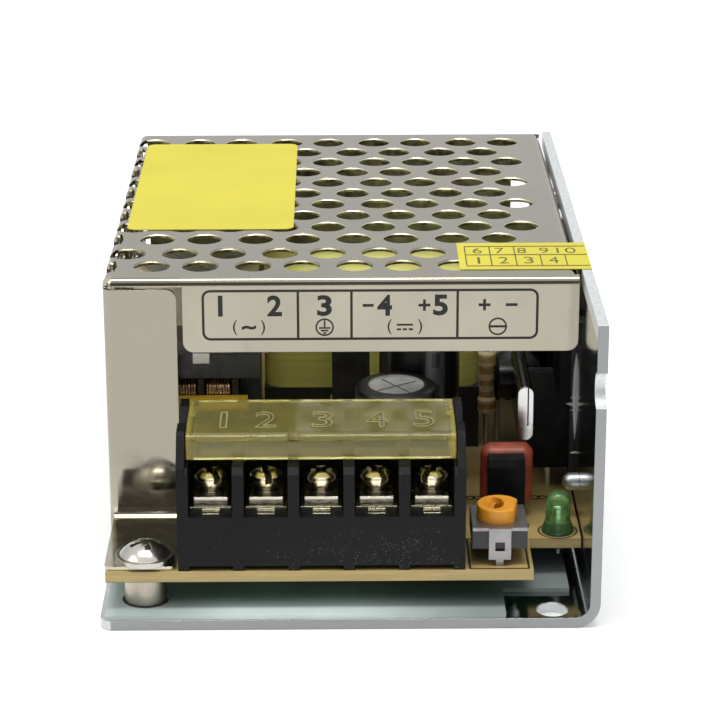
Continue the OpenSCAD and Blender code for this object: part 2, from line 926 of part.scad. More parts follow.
// Metal plate on top of the trimmer with a strap down its front
module trimmer_frame() {
    strap_w = 2.6;
    strap_t = 0.3;
    strap_z = board_top + 0.8;
    tab_w = 0.9;
    window = 1.1;
    plate_z = trimmer_z + trimmer_body_h;
    plate_top = plate_z + trimmer_plate_t;
    color([0.8, 0.8, 0.79])
        from_corner() {
            difference() {
                translate([trimmer_x - trimmer_w / 2, trimmer_y - trimmer_l / 2, plate_z])
                    cube([trimmer_w, trimmer_l, trimmer_plate_t]);
                translate([trimmer_x, trimmer_y, plate_z - cut])
                    cylinder(r = spindle_d / 2 + run_gap, h = trimmer_plate_t + 2 * cut);
            }
            difference() {
                translate([trimmer_x - strap_w / 2, trimmer_front, strap_z])
                    cube([strap_w, strap_t, plate_top - strap_z]);
                translate([trimmer_x - window / 2, trimmer_front - cut, strap_z + window])
                    cube([window, strap_t + 2 * cut, window]);
            }
            translate([trimmer_x - tab_w / 2, trimmer_front, board_top])
                cube([tab_w, strap_t, strap_z - board_top]);
        }
}

// Round rotor with a flat on its right and a driver slot that opens to the left
module trimmer_rotor() {
    slot_w = 0.9;
    slot_depth = 0.9;
    hub_d = 1.8;
    hub_x = -rotor_d / 12;
    flat_x = 0.4 * rotor_d;
    flat_turn = -10;
    color([0.95, 0.6, 0.1])
        from_corner()
            translate([trimmer_x, trimmer_y, rotor_z])
                difference() {
                    union() {
                        cylinder(d = rotor_d, h = rotor_h);
                        translate([0, 0, trimmer_z - rotor_z + 0.2])
                            cylinder(d = spindle_d, h = rotor_z - trimmer_z);
                    }
                    rotate(flat_turn)
                        translate([flat_x, -rotor_d, -cut])
                            cube([rotor_d, 2 * rotor_d, rotor_h + 2 * cut]);
                    translate([hub_x, 0, rotor_h - slot_depth])
                        cylinder(d = hub_d, h = slot_depth + cut, $fn = 6);
                    translate([hub_x - rotor_d, -slot_w / 2, rotor_h - slot_depth / 2])
                        cube([rotor_d, slot_w, slot_depth + cut]);
                }
}

// Lamp: a domed body that flares out to a thin rim on the board
module indicator_lamp() {
    rim_r = lamp_d / 2 + 0.45;
    rim_t = 0.35;
    skirt_h = 1.6;
    dome_z = 3.7;
    color([0.25, 0.6, 0.28])
        from_corner()
            translate([lamp_x, lamp_y, board_top])
                rotate_extrude() {
                    polygon([
                        [0, 0],
                        [rim_r, 0],
                        [rim_r, rim_t],
                        [lamp_d / 2, skirt_h],
                        [lamp_d / 2, dome_z],
                        [0, dome_z]
                    ]);
                    translate([0, dome_z])
                        intersection() {
                            circle(d = lamp_d);
                            square(lamp_d);
                        }
                }
}

// Dipped film capacitor: a pillow with round edges on two legs
module film_capacitor() {
    edge_r = 1.4;
    lift = 1.2;
    color([0.58, 0.22, 0.14])
        from_corner() {
            hull()
                for (x = [edge_r, film_cap_w - edge_r], z = [lift + edge_r, film_cap_h - edge_r])
                    translate([film_cap_x - film_cap_w / 2 + x, film_cap_y, board_top + z])
                        scale([1, film_cap_t / (2 * edge_r), 1])
                            sphere(r = edge_r, $fn = 24);
            for (side = [-1, 1])
                leg(film_cap_x + side * (film_cap_w / 2 - edge_r), film_cap_y, board_top + lift + edge_r);
        }
}

// Flat-faced black package that stands in front of the film capacitor
module regulator() {
    body_w = 4.4;
    body_d = 2.4;
    body_h = 6.35;
    body_z = board_top + 2.2;
    bevel = 0.9;
    front = film_cap_y - film_cap_t / 2 - 0.15 - body_d;
    lead_step = 1.27;
    color(black)
        from_corner() {
            along_x(film_cap_x - 0.2 - body_w / 2, body_w)
                polygon([
                    [front, body_z],
                    [front, body_z + body_h - bevel],
                    [front + bevel / 2, body_z + body_h],
                    [front + body_d, body_z + body_h],
                    [front + body_d, body_z]
                ]);
            for (i = [-1 : 1])
                leg(film_cap_x - 0.2 + i * lead_step, front + body_d / 2, body_z, 0.5);
        }
}

// Electrolytic capacitor: crimped sleeve, rolled top edge and a cross scored in the top
module can(d, h) {
    shoulder = 0.6;
    crimp_z = 2;
    crimp = 0.35;
    top_r = d / 2 - 1.65;
    difference() {
        rotate_extrude()
            polygon([
                [0, 0],
                [d / 2 - shoulder, 0],
                [d / 2, shoulder],
                [d / 2, crimp_z - crimp],
                [d / 2 - crimp, crimp_z],
                [d / 2, crimp_z + crimp],
                [d / 2, h - shoulder],
                [d / 2 - shoulder / 3, h - shoulder / 3],
                [d / 2 - shoulder, h],
                [top_r, h],
                [top_r, h - 0.25],
                [0, h - 0.25]
            ]);
        translate([0, 0, h - 0.25])
            rotate(35)
                cross_recess(2 * top_r - 0.6, 0.3, 0.2);
    }
}

module output_capacitor_front() {
    color(black)
        from_corner()
            translate([out_cap_x, out_cap_y, board_top])
                can(out_cap_d, out_cap_h);
}

module output_capacitor_rear() {
    color(black)
        from_corner()
            translate([tall_cap_x, tall_cap_y, board_top])
                can(out_cap_d, tall_cap_h);
}

module bulk_capacitor() {
    color([0.12, 0.13, 0.2])
        from_corner()
            translate([bulk_x, bulk_y, board_top])
                can(bulk_cap_d, bulk_cap_h);
}

// Side outline of the paired E cores as Y and Z: yokes above and below, three legs between
module core_outline() {
    window_l = (core_l - centre_leg_l) / 2 - core_leg_t;
    difference() {
        translate([trafo_front, core_z])
            square([core_l, core_h]);
        for (y = [trafo_front + core_leg_t, trafo_mid + centre_leg_l / 2])
            translate([y, core_z + yoke_t])
                square([window_l, core_h - 2 * yoke_t]);
    }
}

module transformer_core() {
    color([0.13, 0.13, 0.13])
        from_corner()
            along_x(trafo_x - core_w / 2, core_w)
                core_outline();
}

// Plan of the bobbin tube that slips over the centre leg, grown by a margin
module bobbin_plan(margin) {
    translate([trafo_x - core_w / 2 - margin, trafo_mid - centre_leg_l / 2 - margin])
        square([core_w + 2 * margin, centre_leg_l + 2 * margin]);
}

// Bobbin: a tube, a flange below and above the winding, rails down to the board and up beside the yoke
module transformer_bobbin() {
    slip = 0.1;
    side = winding_w / 2;
    rail_w = side - core_w / 2 - winding_gap;
    tube_z = core_z + yoke_t;
    tube_top = core_z + core_h - yoke_t;
    color(black)
        from_corner() {
            for (z = [tube_z, tube_top - flange_t])
                translate([0, 0, z])
                    linear_extrude(flange_t)
                        difference() {
                            translate([trafo_x - side, trafo_mid - winding_span / 2])
                                square([winding_w, winding_span]);
                            bobbin_plan(slip);
                        }
            translate([0, 0, tube_z])
                linear_extrude(tube_top - tube_z)
                    difference() {
                        bobbin_plan(bobbin_t + slip);
                        bobbin_plan(slip);
                    }
            for (x = [trafo_x - side, trafo_x + side - rail_w]) {
                translate([x, trafo_mid - winding_span / 2, board_top])
                    cube([rail_w, winding_span, tube_z - board_top]);
                translate([x, trafo_mid - winding_span / 2, tube_top])
                    cube([rail_w, winding_span, yoke_t]);
            }
        }
}

module transformer_winding() {
    corner_r = 2.5;
    color(tape_yellow)
        from_corner()
            translate([0, 0, winding_z])
                linear_extrude(winding_h)
                    difference() {
                        translate([trafo_x - winding_w / 2, trafo_mid - winding_span / 2])
                            soft_rect(winding_w, winding_span, corner_r);
                        bobbin_plan(bobbin_t + 0.1);
                    }
}

// Tape laid over the core and the rails beside its yoke, with a narrow tail down the front
module transformer_tape() {
    tail_w = 1.3;
    top = core_z + core_h;
    color(tape_yellow)
        from_corner() {
            translate([0, 0, top])
                linear_extrude(tape_t) {
                    translate([trafo_x - winding_w / 2, trafo_mid - winding_span / 2])
                        square([winding_w, winding_span]);
                    translate([trafo_x - core_w / 2, trafo_front - tape_t])
                        square([core_w, core_l / 2 + tape_t]);
                }
            translate([trafo_x - tail_w / 4, trafo_front - tape_t, core_z + yoke_t])
                cube([tail_w, tape_t, core_h - yoke_t + tape_t]);
        }
}

// Front outline of the choke core as X and Z: an upper and a lower limb joined at both ends
module choke_outline() {
    window_top = choke_yoke_z;
    window_z = limb_z + limb_h;
    difference() {
        span_rect(choke_x, limb_z, choke_x + choke_w, choke_yoke_z + choke_yoke_h);
        span_rect(choke_x + choke_side_t, window_z, choke_x + choke_w - choke_side_t, window_top);
    }
}

module choke_core() {
    color([0.12, 0.12, 0.12])
        from_corner() {
            upright(limb_y, limb_d)
                choke_outline();
            translate([choke_x, choke_front, choke_yoke_z])
                cube([choke_w, choke_d, choke_yoke_h]);
        }
}

// Section of the lower limb as Y and Z, grown by a margin
module limb_section(margin) {
    span_rect(limb_y - margin, limb_z - margin, limb_y + limb_d + margin, limb_z + limb_h + margin);
}

// Bobbin on the lower limb: a square tube, three flanges that stand on the board, a rail in front
module choke_bobbin() {
    rail_t = 1;
    rail_h = 2.2;
    rail_z = board_top + 13;
    rail_w = choke_w - 1.7;
    tube_x = flange_spots[0];
    tube_l = flange_spots[2] + flange_plate - tube_x;
    flange_front = limb_y - coil_out;
    flange_rear = limb_y + limb_d + coil_out;
    flange_top = limb_z + limb_h + coil_out;
    rail_front = flange_front - rail_t + 0.1;
    color([0.9, 0.7, 0.1])
        from_corner() {
            along_x(tube_x, tube_l)
                difference() {
                    limb_section(coil_slip + coil_wall);
                    limb_section(coil_slip);
                }
            for (x = flange_spots)
                along_x(x, flange_plate)
                    difference() {
                        span_rect(flange_front, board_top, flange_rear, flange_top);
                        limb_section(coil_slip);
                    }
            translate([choke_x + 0.2, rail_front, rail_z])
                cube([rail_w, rail_t, rail_h]);
        }
}

// Two coils of wire, one on either side of the middle flange and a little lower than it
module choke_winding() {
    below_rim = 0.2;
    color([0.7, 0.4, 0.2])
        from_corner()
            for (i = [0, 1])
                along_x(flange_spots[i] + flange_plate, flange_spots[i + 1] - flange_spots[i] - flange_plate)
                    difference() {
                        limb_section(coil_out - below_rim);
                        limb_section(coil_slip + coil_wall);
                    }
}

// Spring strip over the choke core, bent down at the front and the back
module choke_clip() {
    strip_w = 2;
    strip_t = 0.3;
    drop = 1;
    clip_x = choke_x + 8.4;
    top = choke_yoke_z + choke_yoke_h;
    color(lead_silver)
        from_corner() {
            translate([clip_x, choke_front - strip_t, top])
                cube([strip_w, choke_d + 2 * strip_t, strip_t]);
            for (y = [choke_front - strip_t, choke_front + choke_d])
                translate([clip_x, y, top - drop])
                    cube([strip_w, strip_t, drop + strip_t]);
        }
}

// Round black disc on two legs, facing the front
module thermistor() {
    disc_d = 7;
    disc_t = 3;
    edge = 1;
    disc_x = pack_x - 1.1;
    disc_y = bar_spots[0] + bar_len + 3.4;
    disc_z = board_top + 9.3;
    color(black)
        from_corner() {
            translate([disc_x, disc_y + disc_t / 2, disc_z])
                rotate([90, 0, 0])
                    rotate_extrude()
                        polygon([
                            [0, 0],
                            [disc_d / 2 - edge, 0],
                            [disc_d / 2, edge],
                            [disc_d / 2, disc_t - edge],
                            [disc_d / 2 - edge, disc_t],
                            [0, disc_t]
                        ]);
            for (side = [-1, 1])
                leg(disc_x + side * 2.2, disc_y, disc_z - 1.5);
        }
}

// Half section of an axial resistor body, one end at zero
module resistor_section(d, len) {
    cap = len * 0.22;
    polygon([
        [0, 0],
        [d / 2 - 0.3, 0],
        [d / 2, 0.4],
        [d / 2, cap],
        [d / 2 - 0.2, cap + 0.4],
        [d / 2 - 0.2, len - cap - 0.4],
        [d / 2, len - cap],
        [d / 2, len - 0.4],
        [d / 2 - 0.3, len],
        [0, len]
    ]);
}

// Resistor that stands on end, its upper lead turned over and down beside it
module standing_resistor() {
    body_d = 2.3;
    body_l = 8.4;
    body_x = pack_x - 5.1;
    body_y = pack_spots[0] + 11;
    body_z = board_top + 6.6;
    wire = 0.7;
    wire_in = wire - 0.06;
    turn_r = 1.1;
    turn_z = body_z + body_l + 0.8;
    color([0.82, 0.7, 0.48])
        from_corner() {
            translate([body_x, body_y, body_z])
                rotate_extrude()
                    resistor_section(body_d, body_l);
            leg(body_x, body_y, body_z + 1, wire_in);
            translate([body_x, body_y, body_z + body_l - 0.5])
                cylinder(d = wire_in, h = turn_z - body_z - body_l + 0.5, $fn = 16);
            translate([body_x, body_y + turn_r, turn_z])
                rotate([90, 0, 90])
                    rotate_extrude(angle = 180)
                        translate([turn_r, 0])
                            circle(d = wire, $fn = 16);
            leg(body_x, body_y + 2 * turn_r, turn_z, wire_in);
        }
}

// Three-leg power package, its metal tab towards the wall
module power_package(y) {
    lead_step = 2.54;
    lead_w = 0.8;
    lead_t = 0.5;
    tab_hole = 3.6;
    difference() {
        union() {
            translate([pack_x, y, pack_z])
                cube([package_t, pack_w, pack_body_h]);
            translate([pack_face - pack_tab_t, y, pack_z + pack_body_h])
                cube([pack_tab_t, pack_w, pack_tab_h]);
            for (i = [-1 : 1])
                translate([pack_face - 2.6, y + pack_w / 2 + i * lead_step - lead_w / 2, board_top])
                    cube([lead_t, lead_w, pack_z - board_top]);
        }
        rod_x(pack_x - cut, y + pack_w / 2, pack_z + pack_body_h + pack_tab_h / 2, tab_hole, package_t + 2 * cut);
    }
}

module output_rectifier() {
    color(black)
        from_corner()
            power_package(pack_spots[0]);
}

module switch_transistor() {
    color(black)
        from_corner()
            power_package(pack_spots[1]);
}

module thermal_pads() {
    margin = 0.6;
    color([0.72, 0.73, 0.72])
        from_corner()
            for (y = pack_spots)
                translate([pack_face, y - margin, pack_z - margin])
                    cube([pad_t, pack_w + 2 * margin, pack_body_h + pack_tab_h + margin]);
}

// Section of a bar: a strip folded on itself, with a narrow gap between its leaves
module bar_section() {
    leaf_gap = 0.12;
    inner_leaf = 0.7;
    difference() {
        soft_rect(bar_t, bar_h, bar_t / 2 - 0.01);
        translate([bar_t - inner_leaf, bar_t])
            square([leaf_gap, bar_h]);
    }
}

// Round-edged bars that press the packages against the wall
module clamp_bars() {
    color([0.82, 0.81, 0.8])
        from_corner()
            for (i = [0, 1])
                difference() {
                    upright(bar_spots[i], bar_len)
                        translate([pack_x - bar_t, bar_z])
                            bar_section();
                    rod_x(pack_x - bar_t - cut, bar_screws[i], clamp_screw_z, screw_d, bar_t + 2 * cut);
                }
}

module clamp_screws() {
    head_d = 5;
    head_h = 1.6;
    head_x = pack_x - bar_t - head_h;
    color(lead_silver)
        from_corner()
            for (y = bar_screws)
                difference() {
                    union() {
                        rod_x(head_x, y, clamp_screw_z, head_d, head_h);
                        rod_x(head_x, y, clamp_screw_z, screw_d - 0.1, case_w - 0.2 - head_x);
                    }
                    translate([head_x, y, clamp_screw_z])
                        rotate([0, -90, 0])
                            cross_recess(3, 0.6, 1);
                }
}

// Axial part that lies on the board along X, with its leads bent down at the ends
module axial_part(x, y, d, len, reach) {
    wire = 0.7;
    z = board_top + d / 2;
    translate([x - len / 2, y, z])
        rotate([0, 90, 0])
            rotate_extrude()
                resistor_section(d, len);
    rod_x(x - len / 2 - reach, y, z, wire, len + 2 * reach);
    for (side = [-1, 1])
        leg(x + side * (len / 2 + reach - wire / 2), y, z, wire);
}

module fuse() {
    color([0.75, 0.75, 0.7])
        from_corner()
            axial_part(block_x + 15, block_rear + 6.2, 3.6, 8.4, 1);
}

module bridge_rectifier() {
    body = [14, bridge_t, 10.5];
    bevel = 2;
    lift = 1.5;
    x = left_inset;
    y = bridge_y;
    color(black)
        from_corner() {
            upright(y, body[1])
                translate([x, board_top + lift])
                    polygon([
                        [0, 0],
                        [body[0], 0],
                        [body[0], body[2]],
                        [bevel, body[2]],
                        [0, body[2] - bevel]
                    ]);
            for (i = [0 : 3])
                leg(x + 1.4 + i * 3.7, y + body[1] / 2, board_top + lift, 0.9);
        }
}

module line_capacitor() {
    body = [13, 6, 12];
    corner_r = 0.6;
    x = left_inset;
    y = bridge_y + bridge_t + part_gap;
    color([0.88, 0.76, 0.15])
        from_corner()
            translate([x, y, board_top])
                linear_extrude(body[2])
                    soft_rect(body[0], body[1], corner_r);
}

module safety_capacitor() {
    disc_d = 7;
    disc_t = 3;
    lift = 2;
    x = rear_x;
    y = trafo_rear + part_gap + disc_t / 2;
    color([0.2, 0.4, 0.65])
        from_corner() {
            translate([x, y + disc_t / 2, board_top + lift + disc_d / 2])
                rotate([90, 0, 0])
                    rotate_extrude()
                        intersection() {
                            translate([0, disc_t / 2])
                                circle(d = disc_d);
                            square([disc_d / 2, disc_t]);
                        }
            for (side = [-1, 1])
                leg(x + side * 2.2, y, board_top + lift + 1.6);
        }
}

// Moulded chip on the board with a row of legs along each side
module chip(x, y, len, pins) {
    body_w = chip_w;
    body_h = 3.3;
    lift = 0.5;
    pin_step = 2.54;
    pin_w = 1;
    pin_t = 0.3;
    translate([x, y, board_top + lift])
        cube([len, body_w, body_h]);
    for (i = [0 : pins - 1], side = [-pin_t, body_w])
        translate([x + len / 2 + (i - (pins - 1) / 2) * pin_step - pin_w / 2, y + side, board_top])
            cube([pin_w, pin_t, lift + body_h / 2]);
}

module control_chip() {
    color(black)
        from_corner()
            chip(chip_x, rear_row, chip_l, 4);
}

module optocoupler() {
    pin_pairs = 2;
    color([0.9, 0.9, 0.88])
        from_corner()
            chip(chip_x + chip_l + 2 * part_gap, rear_row, opto_l, pin_pairs);
}

module supply_capacitor() {
    can_d = 5;
    can_h = 11;
    color([0.1, 0.12, 0.3])
        from_corner()
            translate([rear_x, rear_row + chip_w, board_top])
                can(can_d, can_h);
}

module board_resistors() {
    body_d = 2.3;
    body_l = 6.2;
    reach = 1.2;
    color([0.82, 0.7, 0.48])
        from_corner()
            for (i = [0 : 1])
                axial_part(chip_x + chip_l / 2, rear_row + chip_w + part_gap + body_d / 2 + i * (body_d + part_gap / 2),
                           body_d, body_l, reach);
}

// Blank sticker on the cover's top
module top_label() {
    label_w = 20.8;
    label_d = 41;
    label_x = 1.5;
    set_back = 19.8;
    corner_r = 1.2;
    color([0.93, 0.88, 0.38])
        from_corner()
            translate([label_x, cover_front + set_back, case_h])
                linear_extrude(sticker_t)
                    soft_rect(label_w, label_d, corner_r);
}

// Sticker that bridges the cover and the top edge of the wall
module seal_label() {
    label_w = 15.7;
    label_d = 10.6;
    set_back = 2.9;
    color([0.93, 0.88, 0.38])
        from_corner()
            translate([case_w - label_w, cover_front + set_back, case_h])
                cube([label_w, label_d, sticker_t]);
}

module terminal_screw_1() terminal_screw(0);
module terminal_screw_2() terminal_screw(1);
module terminal_screw_3() terminal_screw(2);
module terminal_screw_4() terminal_screw(3);
module terminal_screw_5() terminal_screw(4);
module clamp_plate_1() clamp_plate(0);
module clamp_plate_2() clamp_plate(1);
module clamp_plate_3() clamp_plate(2);
module clamp_plate_4() clamp_plate(3);
module clamp_plate_5() clamp_plate(4);

chassis();
cover();
base_film();
standoffs();
board_screws();
side_screws();
circuit_board();
terminal_housing();
terminal_contacts();
terminal_cover();
terminal_screw_1();
terminal_screw_2();
terminal_screw_3();
terminal_screw_4();
terminal_screw_5();
clamp_plate_1();
clamp_plate_2();
clamp_plate_3();
clamp_plate_4();
clamp_plate_5();
trimmer_body();
trimmer_frame();
trimmer_rotor();
indicator_lamp();
film_capacitor();
regulator();
output_capacitor_front();
output_capacitor_rear();
bulk_capacitor();
transformer_core();
transformer_bobbin();
transformer_winding();
transformer_tape();
choke_core();
choke_bobbin();
choke_winding();
choke_clip();
thermistor();
standing_resistor();
output_rectifier();
switch_transistor();
thermal_pads();
clamp_bars();
clamp_screws();
fuse();
bridge_rectifier();
line_capacitor();
safety_capacitor();
control_chip();
optocoupler();
supply_capacitor();
board_resistors();
top_label();
seal_label();
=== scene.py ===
import math
import random

import bmesh
import bpy
from bpy.props import FloatProperty, FloatVectorProperty, IntProperty, PointerProperty
from mathutils import Matrix, Vector


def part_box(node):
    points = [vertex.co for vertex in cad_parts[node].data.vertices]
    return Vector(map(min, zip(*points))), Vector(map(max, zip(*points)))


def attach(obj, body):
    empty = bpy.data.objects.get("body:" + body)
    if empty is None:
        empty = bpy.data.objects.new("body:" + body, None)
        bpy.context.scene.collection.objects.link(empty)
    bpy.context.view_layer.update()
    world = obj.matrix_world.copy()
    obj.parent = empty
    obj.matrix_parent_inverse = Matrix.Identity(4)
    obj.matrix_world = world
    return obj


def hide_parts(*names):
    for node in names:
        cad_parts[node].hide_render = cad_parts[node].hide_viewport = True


bl_info = {
    "name": "Open-frame power supply",
    "version": (1, 0, 0),
    "blender": (4, 5, 0),
    "location": "3D View > Sidebar > Power supply",
    "description": "Dresses the packed model of a small switching power supply and sets up its picture",
    "category": "Object",
}

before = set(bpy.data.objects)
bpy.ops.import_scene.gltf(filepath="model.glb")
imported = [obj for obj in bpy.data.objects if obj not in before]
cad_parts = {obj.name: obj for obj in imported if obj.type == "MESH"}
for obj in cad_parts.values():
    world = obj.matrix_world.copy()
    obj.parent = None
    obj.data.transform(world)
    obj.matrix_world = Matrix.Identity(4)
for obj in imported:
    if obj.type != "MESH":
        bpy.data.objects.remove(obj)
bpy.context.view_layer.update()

MM = 0.001
# Front left corner of the base: plans below are in millimetres from it
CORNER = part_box("chassis")[0]
# Directions across and up on a level print and on one that faces the front
LEVEL = (1, 0, 0), (0, 1, 0)
UPRIGHT = (1, 0, 0), (0, 0, 1)
CASE = "supply_case"
LID = "hinged_cover"


def span(node):
    """Lowest and highest corner of a node, in millimetres from the corner of the base."""
    low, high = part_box(node)
    return (low - CORNER) / MM, (high - CORNER) / MM


def middle(node):
    low, high = span(node)
    return (low + high) / 2


def shade(colour, factor):
    return tuple(min(1.0, part * factor) for part in colour)


class Flow:
    """One socket of a node tree, on which sums can be written."""

    def __init__(self, nodes, socket):
        self.nodes = nodes
        self.socket = socket

    def __add__(self, other):
        return self.nodes.maths("ADD", self, other)

    def __radd__(self, other):
        return self.nodes.maths("ADD", other, self)

    def __sub__(self, other):
        return self.nodes.maths("SUBTRACT", self, other)

    def __rsub__(self, other):
        return self.nodes.maths("SUBTRACT", other, self)

    def __mul__(self, other):
        return self.nodes.maths("MULTIPLY", self, other)

    def __rmul__(self, other):
        return self.nodes.maths("MULTIPLY", other, self)

    def __truediv__(self, other):
        return self.nodes.maths("DIVIDE", self, other)

    def __pow__(self, other):
        return self.nodes.maths("POWER", self, other)

    def __lt__(self, other):
        return self.nodes.maths("LESS_THAN", self, other)

    def __gt__(self, other):
        return self.nodes.maths("GREATER_THAN", self, other)

    def __abs__(self):
        return self.nodes.maths("ABSOLUTE", self, 0.0)


def between(value, low, high):
    """Mask of the places where a value lies between two others."""
    return (value > low) * (value < high)


class Nodes:
    """A node tree, and the one way in which its nodes are made."""

    def __init__(self, tree):
        self.tree = tree

    def node(self, kind, sockets=None, out=0, **settings):
        """Makes a node and returns one of its outputs."""
        made = self.tree.nodes.new(kind)
        for name, value in settings.items():
            setattr(made, name, value)
        for key, value in (sockets or {}).items():
            self.feed(made.inputs[key], value)
        return Flow(self, made.outputs[out])

    def feed(self, socket, value):
        if isinstance(value, Flow):
            self.tree.links.new(value.socket, socket)
        else:
            socket.default_value = value

    def maths(self, operation, first, second):
        return self.node("ShaderNodeMath", {0: first, 1: second}, operation=operation)

    def vector(self, operation, first, second, third=(0, 0, 0)):
        return self.node("ShaderNodeVectorMath", {0: first, 1: second, 2: third}, operation=operation)

    def mix(self, factor, first, second, blend="MIX"):
        """Colour between two colours."""
        first, second = (c if isinstance(c, Flow) else (*c, 1.0) for c in (first, second))
        sockets = {0: factor, 6: first, 7: second}
        return self.node("ShaderNodeMix", sockets, 2, data_type="RGBA", blend_type=blend)

    def ease(self, value, low, high, start=0.0, end=1.0):
        """Smooth step of a value from one end to the other."""
        sockets = {0: value, 1: low, 2: high, 3: start, 4: end}
        return self.node("ShaderNodeMapRange", sockets, interpolation_type="SMOOTHSTEP")

    def split(self, vector):
        return [self.node("ShaderNodeSeparateXYZ", {0: vector}, axis) for axis in range(3)]


class Finish(Nodes):
    """A material built on a Principled shader; its patterns are laid out in millimetres from the corner."""

    def __init__(self, name, colour, roughness, metal=0.0, edge=0.0, **fixed):
        self.material = bpy.data.materials.new(name)
        self.material.use_nodes = True
        super().__init__(self.material.node_tree)
        self.shader = self.tree.nodes["Principled BSDF"]
        self.edge = edge
        self.set("Base Color", (*colour, 1.0))
        self.set("Roughness", roughness)
        self.set("Metallic", metal)
        for socket, value in fixed.items():
            self.set(socket.replace("_", " ").title().replace("Ior", "IOR"), value)
        place = self.node("ShaderNodeTexCoord", None, "Object")
        offset = tuple(-CORNER / MM)
        self.place = self.vector("MULTIPLY_ADD", place, (1 / MM, 1 / MM, 1 / MM), offset)
        self.x, self.y, self.z = self.split(self.place)

    def set(self, socket, value):
        self.feed(self.shader.inputs[socket], value)

    def noise(self, size, detail=2.0, stretch=(1, 1, 1), warp=0.0):
        """Cloudy values from 0 to 1, their spots about size millimetres across."""
        scale = tuple(1 / (size * part) for part in stretch)
        place = self.vector("MULTIPLY", self.place, scale)
        sockets = {"Vector": place, "Scale": 1.0, "Detail": detail, "Distortion": warp}
        return self.node("ShaderNodeTexNoise", sockets)

    def specks(self, size, radius, share):
        """Mask of small round specks, on a share of the cells of a grid."""
        place = self.vector("MULTIPLY", self.place, (1 / size, 1 / size, 1 / size))
        far = self.node("ShaderNodeTexVoronoi", {"Vector": place, "Scale": 1.0})
        chance = self.node("ShaderNodeTexVoronoi", {"Vector": place, "Scale": 1.0}, 1)
        red, green, _ = self.split(chance)
        return (far < radius * red) * (green < share)

    def cloud(self, colour, size, deep, light, detail=3.0):
        """A colour that drifts between a deeper and a lighter tone."""
        return self.tones(self.noise(size, detail), colour, deep, light)

    def tones(self, value, colour, deep, light):
        """A colour that follows a noise from a deeper to a lighter tone."""
        return self.mix(self.ease(value, 0.3, 0.7), shade(colour, deep), shade(colour, light))

    def done(self, colour, roughness, height=None, metal=None):
        """Feeds the shader and hands out the material; the height of its relief is in millimetres."""
        self.set("Base Color", colour)
        self.set("Roughness", roughness)
        if metal is not None:
            self.set("Metallic", metal)
        if height is not None:
            sockets = {"Height": height, "Distance": MM, "Strength": 1.0}
            if self.edge:
                sockets["Normal"] = self.node("ShaderNodeBevel", {"Radius": self.edge * MM}, samples=4)
            self.set("Normal", self.node("ShaderNodeBump", sockets))
        return self.material

    def grained(self, colour, grain, rough, spread, height, metal=None):
        """Done with a grain that makes both the gloss and the surface uneven."""
        fine = self.noise(*grain)
        return self.done(colour, rough + spread * fine, height * fine, metal)

    def grey(self, tone):
        return self.node("ShaderNodeCombineColor", {0: tone, 1: tone, 2: tone})

    def veil(self, factor, colour, roughness):
        """Lays an opaque skin over the shader, as strong as its factor."""
        sockets = {"Base Color": (*colour, 1.0), "Roughness": roughness}
        skin = self.node("ShaderNodeBsdfPrincipled", sockets)
        under = Flow(self, self.shader.outputs[0])
        both = self.node("ShaderNodeMixShader", {0: factor, 1: under, 2: skin})
        self.feed(self.tree.nodes["Material Output"].inputs["Surface"], both)

    def from_axis(self, x, y):
        """Distance from an upright axis."""
        return ((self.x - x) ** 2 + (self.y - y) ** 2) ** 0.5

    def bands(self, value, start, width, step, colours, under):
        """Rings of colour one after the other along a value."""
        made = under
        for i, colour in enumerate(colours):
            here = abs(value - (start + i * step)) < width / 2
            made = self.mix(here, made, colour)
        return made


def put(name, data):
    """Puts data into the scene as an object."""
    holder = bpy.data.objects.new(name, data)
    bpy.context.scene.collection.objects.link(holder)
    return holder


def belt(shapes, lower, upper):
    """Faces between two rings of as many vertices."""
    for i in range(len(lower)):
        shapes.faces.new((lower[i - 1], lower[i], upper[i], upper[i - 1]))


def settle(shapes):
    """Turns a bmesh that is complete into a mesh."""
    mesh = bpy.data.meshes.new("shape")
    shapes.to_mesh(mesh)
    shapes.free()
    return mesh


def dress(material, *nodes):
    """Gives CAD nodes a finish."""
    for name in nodes:
        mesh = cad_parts[name].data
        mesh.materials.clear()
        mesh.materials.append(material)


def add_piece(name, mesh, material, body=CASE, stands_for=(), smooth=None):
    """Adds a mesh that is already in its place as a piece of the object."""
    mesh.name = name
    mesh.materials.clear()
    mesh.materials.append(material)
    if smooth is not None:
        mesh.polygons.foreach_set("use_smooth", [True] * len(mesh.polygons))
        mesh.set_sharp_from_angle(angle=math.radians(smooth))
    piece = put(name, mesh)
    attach(piece, body)
    if stands_for:
        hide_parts(*stands_for)


def rounded(x0, y0, x1, y1, r, steps=5):
    """Corners of a rectangle with round corners, counter-clockwise."""
    points = []
    middles = ((x1 - r, y1 - r), (x0 + r, y1 - r), (x0 + r, y0 + r), (x1 - r, y0 + r))
    for quarter, (cx, cy) in enumerate(middles):
        for i in range(steps + 1):
            turn = math.radians(90 * (quarter + i / steps))
            points.append((cx + r * math.cos(turn), cy + r * math.sin(turn)))
    return points


def ring_points(x, y, r):
    """Corners of a circle, counter-clockwise."""
    count = 36
    turns = [math.tau * i / count for i in range(count)]
    return [(x + r * math.cos(turn), y + r * math.sin(turn)) for turn in turns]


